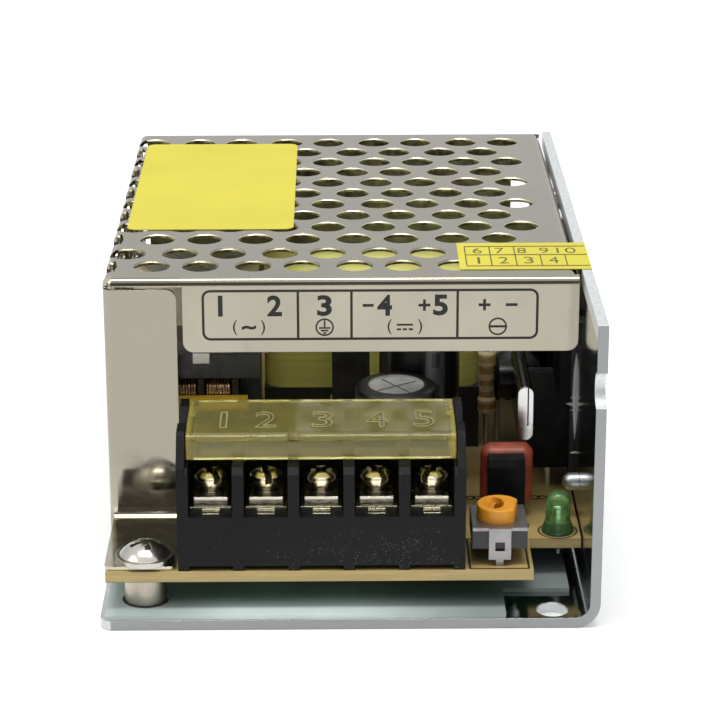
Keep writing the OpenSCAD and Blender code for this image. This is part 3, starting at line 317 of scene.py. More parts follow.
class Print:
    """Flat shapes of ink or raised marks, drawn in millimetres on a plane and made one mesh."""

    def __init__(self, height):
        self.shapes = bmesh.new()
        self.height = height

    def walls(self, points):
        low, high = ([self.shapes.verts.new((x, y, z)) for x, y in points] for z in (0, self.height))
        belt(self.shapes, low, high)
        return low, high

    def plate(self, outer):
        low, high = self.walls(outer)
        self.shapes.faces.new(high)
        self.shapes.faces.new(low[::-1])

    def loop(self, outer, inner):
        """Plate with a hole; both outlines have the same number of points."""
        low, high = self.walls(outer)
        hole_low, hole_high = (ring[::-1] for ring in self.walls(inner[::-1]))
        belt(self.shapes, high, hole_high)
        belt(self.shapes, hole_low, low)

    def bar(self, x0, y0, x1, y1):
        self.plate([(x0, y0), (x1, y0), (x1, y1), (x0, y1)])

    def frame(self, x0, y0, x1, y1, r, line):
        inner = rounded(x0 + line, y0 + line, x1 - line, y1 - line, max(r - line, 0.05))
        self.loop(rounded(x0, y0, x1, y1, r), inner)

    def ring(self, x, y, r, line):
        self.loop(ring_points(x, y, r), ring_points(x, y, r - line))

    def plus(self, x, y, size, line):
        self.bar(x - size / 2, y - line / 2, x + size / 2, y + line / 2)
        for side in (-1, 1):
            low, high = sorted((y + side * line / 2, y + side * size / 2))
            self.bar(x - line / 2, low, x + line / 2, high)

    def sign(self, text, x, y, high, wide=None, bold=0.0, line=0.0):
        """A sign round its middle, stretched to its height and width; with a line, only its outline."""
        curve = bpy.data.curves.new("sign", "FONT")
        curve.body = text
        curve.size = high
        curve.offset = bold
        if line:
            curve.fill_mode = "NONE"
            curve.bevel_depth = line
        else:
            curve.extrude = self.height / 2
        curve.resolution_u = 4
        holder = put("sign", curve)
        bpy.context.view_layer.update()
        mesh = bpy.data.meshes.new_from_object(holder)
        bpy.data.objects.remove(holder)
        low = Vector(min(v.co[i] for v in mesh.vertices) for i in range(3))
        top = Vector(max(v.co[i] for v in mesh.vertices) for i in range(3))
        size = top - low
        grow = high / size.y
        fit = Matrix.Diagonal((wide / size.x if wide else grow, grow, self.height / size.z, 1))
        place = Matrix.Translation((x, y, self.height / 2)) @ fit @ Matrix.Translation(-(low + top) / 2)
        mesh.transform(place)
        self.shapes.from_mesh(mesh)
        bpy.data.meshes.remove(mesh)

    def mesh(self, origin, across, up):
        """The mesh, on a plane with its origin and two directions in millimetres from the corner."""
        out = Vector(across).cross(Vector(up))
        turn = Matrix((across, up, out)).transposed().to_4x4()
        place = Matrix.Translation(CORNER) @ Matrix.Scale(MM, 4) @ Matrix.Translation(origin) @ turn
        bmesh.ops.remove_doubles(self.shapes, verts=self.shapes.verts, dist=1e-5)
        bmesh.ops.recalc_face_normals(self.shapes, faces=self.shapes.faces)
        bmesh.ops.transform(self.shapes, matrix=place, verts=self.shapes.verts)
        return settle(self.shapes)


class Grower(Nodes):
    """A tree of geometry nodes with named inputs for its sizes."""

    def __init__(self, name, inputs, material):
        tree = bpy.data.node_groups.new(name, "GeometryNodeTree")
        super().__init__(tree)
        tree.interface.new_socket("Geometry", in_out="INPUT", socket_type="NodeSocketGeometry")
        for label, kind in inputs.items():
            tree.interface.new_socket(label, in_out="INPUT", socket_type=kind)
        tree.interface.new_socket("Geometry", in_out="OUTPUT", socket_type="NodeSocketGeometry")
        self.entry = tree.nodes.new("NodeGroupInput")
        self.material = material

    def input(self, label):
        return Flow(self, self.entry.outputs[label])

    def end(self, geometry):
        real = self.node("GeometryNodeRealizeInstances", {0: geometry})
        dressed = self.node("GeometryNodeSetMaterial", {"Geometry": real, "Material": self.material})
        self.feed(self.tree.nodes.new("NodeGroupOutput").inputs[0], dressed)

    def grow(self, points, edges, values):
        """Runs the tree on points in millimetres and returns a plain mesh."""
        seed = bpy.data.meshes.new("path")
        seed.from_pydata([CORNER + Vector(p) * MM for p in points], edges, [])
        holder = put("path", seed)
        modifier = holder.modifiers.new(self.tree.name, "NODES")
        modifier.node_group = self.tree
        for item in self.tree.interface.items_tree:
            if item.in_out == "INPUT" and item.name in values:
                modifier[item.identifier] = values[item.name]
        bpy.context.view_layer.update()
        settled = holder.evaluated_get(bpy.context.evaluated_depsgraph_get())
        mesh = bpy.data.meshes.new_from_object(settled)
        holder.modifiers.remove(modifier)
        bpy.data.objects.remove(holder)
        if not mesh.polygons:
            raise RuntimeError(f"{self.tree.name} grew nothing")
        return mesh


def colour_field(label, about, default):
    return FloatVectorProperty(name=label, description=about, default=default, subtype="COLOR")


def length_field(label, about, default, least, most):
    return FloatProperty(name=label, description=f"{about}, in mm", default=default, min=least, max=most)


def direction_field(label, about, default):
    return FloatVectorProperty(name=label, description=about, default=default, subtype="DIRECTION")


class SupplyColours(bpy.types.PropertyGroup):
    """Colours of the finishes."""

    cover: colour_field("Cover", "Plated steel of the cover", (0.385, 0.357, 0.285))
    chassis: colour_field("Chassis", "Aluminium of the chassis", (0.58, 0.60, 0.60))
    film: colour_field("Film", "Insulating film on the base", (0.44, 0.51, 0.49))
    board: colour_field("Board", "Laminate of the board", (0.54, 0.40, 0.15))
    moulding: colour_field("Moulding", "Black of the terminal block", (0.0035, 0.0035, 0.004))
    lid: colour_field("Terminal cover", "Clear yellow of the lid", (0.82, 0.76, 0.28))
    rotor: colour_field("Rotor", "Orange of the adjuster", (0.87, 0.36, 0.02))
    lamp: colour_field("Lamp", "Green of the indicator", (0.28, 0.64, 0.24))
    dip: colour_field("Dip", "Red-brown dip of the capacitor", (0.36, 0.065, 0.03))
    tape: colour_field("Tape", "Yellow of the transformer tape", (1.0, 0.96, 0.25))
    copper: colour_field("Wire", "Lacquered copper of the choke", (0.74, 0.46, 0.25))
    label: colour_field("Label", "Yellow of the stickers", (0.60, 0.535, 0.07))
    ink: colour_field("Ink", "Black of the printed signs", (0.012, 0.012, 0.013))


class SupplySizes(bpy.types.PropertyGroup):
    """Sizes of what the scene adds."""

    ink_line: length_field("Ink line", "Width of the printed lines", 0.3, 0.1, 0.6)
    sign_height: length_field("Sign height", "Height of the numerals on the flange", 2.6, 1, 4)
    lid_sign_height: length_field("Raised numeral", "Height of the numerals on the lid", 5.1, 2, 6)
    wire: length_field("Wire", "Diameter of the choke's wire", 0.34, 0.3, 0.8)
    solder: length_field("Solder joint", "Radius of a solder joint", 0.85, 0.4, 1.2)
    seed: IntProperty(name="Seed", description="Seed of everything irregular", default=7, min=0)


class SupplyStage(bpy.types.PropertyGroup):
    """Camera and light of the picture."""

    eye: FloatVectorProperty(
        name="Camera", description="Place of the camera", default=(-0.001246, -0.319638, 0.131997),
        subtype="TRANSLATION", unit="LENGTH",
    )
    ahead: direction_field("Ahead", "Direction of view", (0.00837, 0.94181, -0.33605))
    above: direction_field("Above", "Upward direction of the picture", (0.00531, 0.33601, 0.94184))
    lens: FloatProperty(
        name="Lens", description="Focal length on a 36 mm frame", default=131.67, unit="CAMERA"
    )
    overhead: FloatProperty(
        name="Overhead light", description="Power of the light above", default=3.0, unit="POWER", min=0
    )
    floor: colour_field("Floor", "Colour of the floor", (0.92, 0.92, 0.92))


def lamp_above(name, power, place, size):
    """A soft rectangular light at a place, turned to the object."""
    light = bpy.data.lights.new(name, "AREA")
    light.shape = "RECTANGLE"
    light.size, light.size_y = size
    light.energy = power
    holder = put(name, light)
    holder.location = place
    holder.rotation_euler = (-Vector(place)).to_track_quat("-Z", "Y").to_euler()


def room_light():
    """World: bright above and behind, with a dark room in front of the object."""
    world = bpy.data.worlds.new("studio")
    bpy.context.scene.world = world
    world.use_nodes = True
    room = Nodes(world.node_tree)
    way = room.node("ShaderNodeTexCoord", None, "Generated")
    _, y, z = room.split(way)
    front = room.ease(y, 0.05, -0.3)
    low = room.ease(z, 0.55, 0.78, 1.0, 0.0)
    sky = room.mix(room.ease(z, 0.3, 0.75), (0.77, 0.775, 0.80), (1.0, 1.0, 1.0))
    light = room.mix(front * low, sky, (0.14, 0.14, 0.14))
    room.feed(world.node_tree.nodes["Background"].inputs["Color"], light)


def pale_floor(colour):
    floor = Finish("floor_paper", colour, 0.7, emission_color=(1, 1, 1, 1), emission_strength=0.12)
    return floor.done(floor.cloud(colour, 40, 0.985, 1.0), 0.7, 0.02 * floor.noise(0.6))


class SUPPLY_OT_stage(bpy.types.Operator):
    """Adds the floor, the light and the camera"""

    bl_idname = "supply.stage"
    bl_label = "Set the stage"

    def execute(self, context):
        scene = context.scene
        stage = scene.supply_stage
        scene.view_settings.view_transform = "Standard"
        half, below = 1.6, -0.00005
        mesh = bpy.data.meshes.new("floor")
        corners = ((-half, -half), (half, -half), (half, half), (-half, half))
        mesh.from_pydata([(*corner, below) for corner in corners], [], [(0, 1, 2, 3)])
        mesh.materials.append(pale_floor(stage.floor))
        floor = put("floor", mesh)
        room_light()
        lamp_above("overhead", stage.overhead, (0.0, -0.1, 0.75), (0.5, 0.16))
        lamp_above("side", 0.35 * stage.overhead, (-0.55, -0.25, 0.5), (0.4, 0.4))
        camera = bpy.data.cameras.new("camera")
        camera.sensor_width = 36
        camera.lens = stage.lens
        camera.clip_start = 0.01
        ahead, above = Vector(stage.ahead), Vector(stage.above)
        turn = Matrix((ahead.cross(above), above, -ahead)).transposed().to_4x4()
        eye = put("camera", camera)
        eye.matrix_world = Matrix.Translation(stage.eye) @ turn
        scene.camera = eye
        return {"FINISHED"}


def plated_steel(colour):
    """Bright plated sheet, a little wavy, with mill lines and smears, and painted shade
    that darkens the front flanges towards the bottom.

    The vents' edges are rolled over, with a painted highlight above that is brightest on the first rows,
    and painted dim olive shade below; the back's inside is painted dim green and brown as shade,
    darker to the left.
    """
    low, high = span("cover")
    front, bend = low.y + 15.3, 1.1
    top, below = high.z - 0.03, high.z - 0.47
    steel = Finish("cover_metal", colour, 0.08, 1.0, edge=0.1)
    rolled = steel.noise(0.5, 3, (12, 0.6, 0.6))
    flanges = steel.y < front + 0.7
    # Painted shade: this bias makes smears denser low on the front flanges, darkening them towards the
    # bottom
    dirt = steel.ease(steel.z, 12.0, 20.0, 0.06, 0.0) * flanges
    smear_and_low_shade = steel.ease(steel.noise(4, 4, warp=0.8) + dirt, 0.5, 0.78)

    inner = between(steel.x, bend, high.x - bend) * between(steel.y, front + 1.2, high.y - bend)
    punched = between(steel.z, below, top) * inner
    # Painted highlight on each vent's rolled rim, brightest on the first rows; painted olive shade below
    burr_highlight = punched * steel.ease(steel.z, top - 0.2, top - 0.12)
    roll_over = punched * steel.ease(steel.z, top - 0.25, top + 0.01)
    lit_first_rows = steel.y < front + 13.7
    rim_highlight_tone = steel.mix(lit_first_rows, (0.70, 0.64, 0.51), (0.36, 0.31, 0.22))
    punched_light_and_shade = steel.mix(burr_highlight, steel.cloud((0.30, 0.29, 0.15), 0.9, 0.3, 1.8), rim_highlight_tone)

    # Painted shade darkens the left corner flange; painted light brightens the foot
    corner_wide, foot_high = 9, 8
    corner = flanges * (steel.x < corner_wide) * steel.ease(steel.z, foot_high, 2 * foot_high)
    foot = (steel.y < front + 0.2) * (steel.z < foot_high)
    face = steel.mix(0.3 * smear_and_low_shade, steel.cloud(colour, 14, 0.95, 1.04), shade(colour, 0.85))
    face = steel.mix(foot, steel.mix(corner, face, shade(colour, 0.84)), shade(colour, 1.4))

    back = between(steel.y, high.y - 0.9, high.y - 0.4) * (steel.z < high.z - 0.8)
    # Painted shade: the inside of the back is painted dim green and brown, darker to the left
    green = steel.cloud((0.46, 0.48, 0.17), 3, 0.65, 1.4)
    brown = steel.cloud((0.36, 0.34, 0.19), 1.6, 0.35, 1.8)
    inside = steel.mix(steel.ease(steel.z, 17, 33), green, brown)
    inside = steel.mix(1.0, inside, steel.grey(steel.ease(steel.x, 18, 36, 0.4, 1.0)), "MULTIPLY")
    return steel.done(
        steel.mix(back, steel.mix(punched, face, punched_light_and_shade), inside),
        0.05 + 0.05 * rolled + 0.12 * smear_and_low_shade + 0.4 * (punched + back) - 0.15 * burr_highlight,
        0.022 * steel.noise(11, 1) + 0.0006 * rolled - 0.22 * roll_over,
        1 - 0.8 * back,
    )


def bare_aluminium(colour):
    """Rolled aluminium: a smooth dull mirror with a few scuffs, its cut edges matt.

    The front cut ends are painted darker, and the top edge, the notch and a band inside the wall's top
    are painted paler, for how the light falls on them.
    """
    low, high = span("chassis")
    wall, half = high.x - 1.2, (high.y - low.y) / 2
    notch_z, notch_r = 29.2, 2.13
    sheet = Finish("chassis_metal", colour, 0.12, 1.0, edge=0.2)
    ends = abs(sheet.y - (low.y + half)) > half - 0.02
    notch = (sheet.y ** 2 + (sheet.z - notch_z) ** 2) < notch_r ** 2
    # Painted light: front cut ends painted darker; top edge and notch painted paler
    pale = sheet.maths("MAXIMUM", sheet.z > high.z - 0.02, notch)
    bare_cut = sheet.maths("MAXIMUM", ends, pale)
    cut_light_and_shade = sheet.mix(pale, shade(colour, 0.56), sheet.cloud(shade(colour, 1.36), 0.5, 0.9, 1.1))
    stud = (sheet.x < wall - 0.05) * between(sheet.y, 15, 21) * (sheet.z > 8)
    # Painted light: a paler band along the inside of the wall, just below its top
    lip = (sheet.x < wall + 0.05) * (sheet.z > high.z - 1.9)
    matt = sheet.maths("MAXIMUM", bare_cut, stud) + 0.6 * notch + 0.7 * lip
    brushed = sheet.noise(0.4, 3, (0.8, 40, 0.8))
    scuff = sheet.ease(sheet.noise(2.2, 5, (1, 3, 1), 0.8), 0.62, 0.75)
    face = sheet.mix(scuff, sheet.cloud(colour, 10, 0.94, 1.04), shade(colour, 1.12))
    face = sheet.mix(lip, face, shade(colour, 1.3))
    return sheet.done(
        sheet.mix(bare_cut, face, cut_light_and_shade),
        0.09 + 0.06 * brushed + 0.1 * scuff + 0.3 * matt,
        (0.0008 * brushed + 0.015 * sheet.noise(14, 1)) * (1 - bare_cut),
        1 - 0.7 * lip,
    )


def milky_film(colour):
    film = Finish("film", colour, 0.35, edge=0.1, coat_weight=0.35, coat_roughness=0.2)
    # Painted light: the film is lighter on the left and darker towards the right
    tone = film.ease(film.x, 6, 20, 1.0, 1.6) * film.ease(film.x, 26, 46, 1.0, 0.45)
    return film.done(
        film.mix(1.0, film.cloud(colour, 9, 0.9, 1.06), film.grey(tone), "MULTIPLY"),
        0.3 + 0.18 * film.noise(1.2, 3),
        0.03 * film.noise(9, 1) + 0.004 * film.noise(0.7, 3),
    )


class SUPPLY_OT_sheet_metal(bpy.types.Operator):
    """Dresses the folded sheets and the film between base and board"""

    bl_idname = "supply.sheet_metal"
    bl_label = "Chassis, cover and film"

    def execute(self, context):
        colours = context.scene.supply_colours
        dress(bare_aluminium(colours.chassis), "chassis")
        dress(plated_steel(colours.cover), "cover")
        dress(milky_film(colours.film), "base_film")
        return {"FINISHED"}


def bright_metal(name, colour, rough=0.2, grain=0.25, edge=0.1, tarnish=(0.35, 0.3, 0.22)):
    """Plated metal with a drift of tone, fine scratches and a touch of tarnish."""
    metal = Finish(name, colour, rough, 1.0, edge=edge)
    scratch = metal.noise(grain, 4, (1, 4, 1), 0.4)
    dull = metal.ease(metal.noise(1.6, 4), 0.58, 0.8, 0.0, 0.6)
    body = metal.mix(dull, metal.cloud(colour, 3, 0.92, 1.06), tarnish)
    return metal.done(body, rough - 0.05 + 0.12 * scratch + 0.15 * dull, 0.004 * scratch)


def clamp_bar_metal():
    """Bars painted dark along their sides as shade, with a painted highlight on their front end."""
    front = span("clamp_bars")[0].y
    bar = Finish("bar_metal", (0.7, 0.7, 0.7), 0.2, 1.0, edge=0.1)
    # Painted highlight on the front end; the sides are painted dark as shade
    end = bar.ease(bar.y, front + 0.25, front + 0.6, 1.0, 0.0)
    body = bar.mix(end, bar.cloud((0.05, 0.047, 0.045), 3, 0.8, 1.3), (0.68, 0.68, 0.66))
    return bar.grained(body, (0.4, 4, (1, 4, 1), 0.4), 0.14, 0.12, 0.004)


class SUPPLY_OT_fasteners(bpy.types.Operator):
    """Dresses standoffs, screws and clamp bars"""

    bl_idname = "supply.fasteners"
    bl_label = "Screws and bars"

    def execute(self, context):
        dress(bright_metal("screw_metal", (0.56, 0.54, 0.49), 0.2), "board_screws", "side_screws")
        dress(bright_metal("standoff_metal", (0.46, 0.42, 0.35), 0.3), "standoffs")
        dark = bright_metal("clamp_screw_metal", (0.05, 0.05, 0.05), 0.3, tarnish=(0.03, 0.03, 0.03))
        dress(dark, "clamp_screws")
        dress(clamp_bar_metal(), "clamp_bars")
        return {"FINISHED"}


def board_laminate(colour):
    """Paper laminate: fibres on the face, layers on the edge, green lacquer with tracks below,
    and a painted shadow towards the back on the right.
    """
    low, high = span("circuit_board")
    board = Finish("board_laminate", colour, 0.45, edge=0.08, coat_weight=0.25, coat_roughness=0.3)
    fibre = board.noise(0.5, 5, (3, 0.7, 1), 0.5)
    mottle = board.cloud(colour, 5, 0.86, 1.1, 4)
    paper = board.mix(0.3 * fibre, mottle, shade(colour, 0.75))
    # Painted shadow: the board darkens towards the back on the right
    painted_shadow = board.ease(board.y, 37, 44, 0.0, 0.85) * board.ease(board.x, 38, 42)
    paper = board.mix(painted_shadow, paper, shade(colour, 0.1))
    layers = board.ease(board.noise(0.28, 2, (30, 30, 1)), 0.35, 0.65)
    inside = board.ease(board.z, high.z - 0.12, high.z - 0.02, 1.0, 0.0)
    body = board.mix(inside, paper, board.mix(layers, shade(colour, 0.84), shade(colour, 1.0)))
    tracks = board.noise(5.5, 0.0, (1, 1.6, 1)) > 0.52
    lacquer = board.mix(tracks, (0.02, 0.07, 0.03), (0.03, 0.12, 0.05))
    body = board.mix(board.z < low.z + 0.05, body, lacquer)
    return board.done(body, 0.36 + 0.2 * fibre, 0.008 * fibre + 0.004 * layers * inside)


def tin_solder():
    colour = (0.72, 0.72, 0.70)
    tin = Finish("solder", colour, 0.25, 1.0)
    return tin.grained(tin.cloud(colour, 0.8, 0.75, 1.1), (0.3, 4), 0.14, 0.35, 0.02)


def lead_spots():
    """Where the legs of the parts come through the board, as a plan in millimetres."""
    pitch = 2.54
    spots = []
    for name, gap in (
        ("output_capacitor_front", 5.0), ("output_capacitor_rear", 5.0), ("bulk_capacitor", 7.5),
        ("supply_capacitor", 2.0), ("film_capacitor", 3.6), ("thermistor", 4.4),
        ("safety_capacitor", 5.0), ("line_capacitor", 10.0), ("fuse", 7.6),
    ):
        mid = middle(name)
        spots += [(mid.x + side * gap / 2, mid.y) for side in (-1, 1)]
    terminal_row = span("terminal_housing")[1].y - 2.6
    spots += [(middle(f"terminal_screw_{i}").x, terminal_row) for i in range(1, 6)]
    trimmer = middle("trimmer_body")
    spots += [(trimmer.x - 2.2, trimmer.y + 2.5), (trimmer.x + 2.2, trimmer.y + 2.5)]
    lamp = middle("indicator_lamp")
    spots += [(lamp.x, lamp.y - 1.2), (lamp.x, lamp.y + 1.2)]
    for name in ("output_rectifier", "switch_transistor"):
        mid = middle(name)
        spots += [(mid.x + 0.2, mid.y + i * pitch) for i in (-1, 0, 1)]
    mid = middle("regulator")
    spots += [(mid.x + i * pitch / 2, mid.y) for i in (-1, 0, 1)]
    low, high = span("transformer_bobbin")
    for x in (low.x + 3.5, high.x - 3.5):
        spots += [(x, low.y + 1.5 + i * 2.75) for i in range(5)]
    low, high = span("choke_bobbin")
    spots += [(x, y) for x in (low.x + 2.8, high.x - 1.5) for y in (low.y + 2, high.y - 1.2)]
    for name, count in (("control_chip", 4), ("optocoupler", 2)):
        low, high = span(name)
        spots += [(low.x + 0.9 + i * pitch, y) for i in range(count) for y in (low.y, high.y)]
    low, high = span("bridge_rectifier")
    spots += [(low.x + 1.6 + i * (high.x - low.x - 3.2) / 3, (low.y + high.y) / 2) for i in range(4)]
    mid = middle("standing_resistor")
    spots += [(mid.x, mid.y - 0.8), (mid.x, mid.y + 1.5)]
    return spots


def solder_joints(sizes, material):
    """A cone of solder with the cut lead in it, on every spot under the board."""
    joints = Grower(
        "solder joints",
        {"Radius": "NodeSocketFloat", "Height": "NodeSocketFloat", "Seed": "NodeSocketInt"},
        material,
    )
    radius, height = joints.input("Radius"), joints.input("Height")
    joint = joints.tree.nodes.new("GeometryNodeJoinGeometry")
    # Sides, share of the radius above and below, share of the height: the cone, then the lead in it
    for sides, above, below, deep in ((12, 0.35, 1.0, 0.6), (8, 0.28, 0.33, 1.0)):
        sockets = {
            "Vertices": sides, "Radius Top": radius * above, "Radius Bottom": radius * below,
            "Depth": height * deep,
        }
        cone = joints.node("GeometryNodeMeshCone", sockets, fill_type="NGON")
        joints.feed(joint.inputs[0], cone)
    sockets = {"Min": 0.8, "Max": 1.1, "Seed": joints.input("Seed")}
    size = joints.node("FunctionNodeRandomValue", sockets, 1, data_type="FLOAT")
    sockets = {
        "Points": joints.input("Geometry"), "Instance": Flow(joints, joint.outputs[0]),
        "Rotation": (math.pi, 0, 0), "Scale": size,
    }
    joints.end(joints.node("GeometryNodeInstanceOnPoints", sockets))
    under = span("circuit_board")[0].z
    points = [(x, y, under) for x, y in lead_spots()]
    values = {"Radius": sizes.solder * MM, "Height": 1.5 * sizes.solder * MM, "Seed": sizes.seed}
    return joints.grow(points, [], values)


def printing_ink(name, colour):
    """Thin screen print with a slightly uneven coat."""
    ink = Finish(name, colour, 0.5)
    return ink.done(ink.cloud(colour, 0.8, 0.8, 1.6), 0.4 + 0.25 * ink.noise(0.3))


def board_marks():
    """Marks printed on the board: round the lamp and the adjuster, and behind the film capacitor."""
    marks = Print(0.03)
    lamp = middle("indicator_lamp")
    marks.ring(lamp.x, lamp.y, 2.4, 0.2)
    low, high = span("trimmer_body")
    marks.frame(low.x - 0.4, low.y - 1.1, high.x + 0.3, high.y + 0.8, 0.3, 0.26)
    low, high = span("film_capacitor")
    for x in (low.x - 0.9, low.x, high.x + 0.7, high.x + 1.7):
        marks.ring(x, high.y + 3.3, 0.62, 0.24)
    marks.bar(lamp.x - 4.6, lamp.y - 1.4, lamp.x - 4.3, lamp.y + 0.4)
    marks.bar(lamp.x - 5.4, lamp.y - 0.6, lamp.x - 4.6, lamp.y - 0.4)
    marks.sign("1", lamp.x - 3.4, lamp.y + 1.6, 1.1)
    return marks.mesh((0, 0, span("circuit_board")[1].z), *LEVEL)


class SUPPLY_OT_board(bpy.types.Operator):
    """Dresses the circuit board and adds its print and its solder joints"""

    bl_idname = "supply.board"
    bl_label = "Circuit board"

    def execute(self, context):
        scene = context.scene
        colours, sizes = scene.supply_colours, scene.supply_sizes
        dress(board_laminate(colours.board), "circuit_board")
        tin = tin_solder()
        add_piece("solder_joints", solder_joints(sizes, tin), tin, smooth=40)
        print_ink = printing_ink("board_ink", (0.03, 0.02, 0.015))
        add_piece("board_print", board_marks(), print_ink)
        return {"FINISHED"}


def black_moulding(colour):
    """Black moulded plastic with a fine grain and pale dust, most of it low on the right."""
    block = Finish("housing_black", colour, 0.42, edge=0.12, specular_ior_level=0.2)
    grain = block.noise(0.25, 3)
    settled = block.ease(block.x, 18, 38, 0.4, 1.0) * block.ease(block.z, 8, 14, 1.0, 0.2)
    dusty = settled * block.ease(block.noise(4.5, 2), 0.3, 0.6, 0.35, 1.0)
    specks = block.specks(0.4, 0.24, 0.45 * dusty)
    dust = block.specks(0.22, 0.34, 0.8 * dusty)
    colour_now = block.mix(0.03 * dusty, block.cloud(colour, 6, 0.6, 1.2), (0.2, 0.19, 0.17))
    colour_now = block.mix(specks, colour_now, (0.28, 0.27, 0.25))
    colour_now = block.mix(0.8 * dust, colour_now, (0.12, 0.115, 0.11))
    return block.done(colour_now, 0.36 + 0.2 * grain + 0.2 * specks, 0.005 * grain)


def clamp_plate_metal():
    """Dull plate with a painted highlight along its upper edge, streaked below."""
    top = span("clamp_plate_1")[1].z
    plate = Finish("clamp_plate_metal", (0.3, 0.28, 0.22), 0.2, 1.0, edge=0.15)
    streak = plate.noise(0.9, 3, (1, 1, 0.2), 0.6)
    worn = plate.mix(plate.ease(streak, 0.35, 0.65), (0.10, 0.09, 0.065), (0.26, 0.24, 0.19))
    # Painted highlight along the plate's upper edge
    body = plate.mix(plate.ease(plate.z, top - 0.42, top - 0.2), worn, (0.62, 0.58, 0.48))
    return plate.done(body, 0.12 + 0.2 * streak, 0.01 * streak)


class SUPPLY_OT_terminal_block(bpy.types.Operator):
    """Dresses the terminal block, its contacts, clamp plates and screws"""

    bl_idname = "supply.terminal_block"
    bl_label = "Terminal block"

    def execute(self, context):
        colours = context.scene.supply_colours
        dress(black_moulding(colours.moulding), "terminal_housing")
        brass = bright_metal("contact_metal", (0.74, 0.71, 0.54), 0.2, 0.8, 0.08, (0.4, 0.3, 0.14))
        plated = bright_metal("terminal_screw_metal", (0.52, 0.47, 0.36), 0.22, 0.4, 0.1, (0.3, 0.24, 0.15))
        dress(brass, "terminal_contacts")
        dress(clamp_plate_metal(), *(f"clamp_plate_{i}" for i in range(1, 6)))
        dress(plated, *(f"terminal_screw_{i}" for i in range(1, 6)))
        return {"FINISHED"}


def plain_plastic(name, colour, rough=0.4, grain=0.3):
    """Moulded plastic with a drift of tone and a fine grain."""
    plastic = Finish(name, colour, rough, edge=0.1)
    body = plastic.cloud(colour, 2.5, 0.88, 1.1)
    return plastic.grained(body, (grain, 3), rough - 0.08, 0.18, 0.006)


def clear_yellow(colour):
    """Yellowish see-through plastic with flow marks, cloudier at its ends and along its lip."""
    low, high = span("terminal_cover")
    half = (high.x - low.x) / 2
    clear = Finish("clear_yellow", colour, 0.12, edge=0.35, transmission_weight=0.9, ior=1.46)
    flow = clear.noise(5, 3, (3, 1, 1), 0.8)
    handled = clear.ease(clear.noise(3.5, 4), 0.5, 0.72)
    scratch = clear.noise(0.3, 3, (8, 1, 1))
    body = clear.tones(flow, colour, 0.9, 1.06)
    ends = clear.ease(abs(clear.x - (low.x + high.x) / 2), half - 1.7, half - 1.4)
    rim = clear.ease(clear.z, low.z + 1.2, low.z + 1.5, 1.0, 0.0)
    clear.veil(0.02 + 0.11 * rim + 0.2 * ends, (0.62, 0.54, 0.14), 0.3)
    return clear.done(
        clear.mix(ends, body, (0.90, 0.80, 0.14)),
        0.06 + 0.07 * handled + 0.05 * scratch,
        0.01 * flow + 0.002 * scratch,
    )


def lid_numerals(sizes):
    """Raised numerals one to five along the top of the lid."""
    numerals = Print(0.16)
    top = span("terminal_cover")[1].z
    row, wide, line = 9.8, 2.5, 0.07
    for i, x in enumerate((14.4, 19.3, 25.9, 32.25, 37.7), 1):
        numerals.sign(str(i), x, row, sizes.lid_sign_height, None if i == 1 else wide, line=line)
    return numerals.mesh((0, 0, top), *LEVEL)


class SUPPLY_OT_terminal_cover(bpy.types.Operator):
    """Dresses the hinged cover of the terminals and adds its raised numerals"""

    bl_idname = "supply.terminal_cover"
    bl_label = "Terminal cover"

    def execute(self, context):
        scene = context.scene
        clear = clear_yellow(scene.supply_colours.lid)
        dress(clear, "terminal_cover")
        pale = plain_plastic("numeral_yellow", (0.36, 0.33, 0.13), 0.35)
        add_piece("lid_numerals", lid_numerals(scene.supply_sizes), pale, LID, smooth=60)
        return {"FINISHED"}


def hollow_rotor():
    """The adjuster's knob: a disc with a flat, an oval hollow in its top and a deep slot in the hollow."""
    low, high = span("trimmer_rotor")
    radius = (high.y - low.y) / 2
    x, y = low.x + radius, (low.y + high.y) / 2
    flat, lean = 0.8 * radius, math.radians(10)
    base, floor, pit, bevel = high.z - 1.7, high.z - 0.6, high.z - 1.2, 0.12
    count = 72
    turns = [math.tau * i / count for i in range(count)]
    outer = [min(radius, flat / max(math.cos(t + lean), 0.1)) for t in turns]
    bevelled = [r - bevel for r in outer]

    def around(shift, reach, deep):
        """Oval ring, moved along X and sized in shares of the knob's radius."""
        return [
            (x + radius * (shift + reach * math.cos(t)), y + radius * deep * math.sin(t)) for t in turns
        ]

    def about(reach):
        return [(x + r * math.cos(t), y + r * math.sin(t)) for r, t in zip(reach, turns)]

    stem = about([1.0] * count)
    rings = (
        (stem, low.z), (stem, base), (about(outer), base),
        (about(outer), high.z - bevel), (about(bevelled), high.z), (around(-0.24, 0.48, 0.68), high.z),
        (around(-0.1, 0.33, 0.62), floor), (around(0.0, 0.2, 0.55), floor), (around(0.0, 0.2, 0.52), pit),
    )
    knob = bmesh.new()
    made = [[knob.verts.new(CORNER + Vector((*point, z)) * MM) for point in ring] for ring, z in rings]
    for below, above in zip(made, made[1:]):
        belt(knob, below, above)
    knob.faces.new(made[0][::-1])
    knob.faces.new(made[-1])
    return settle(knob)


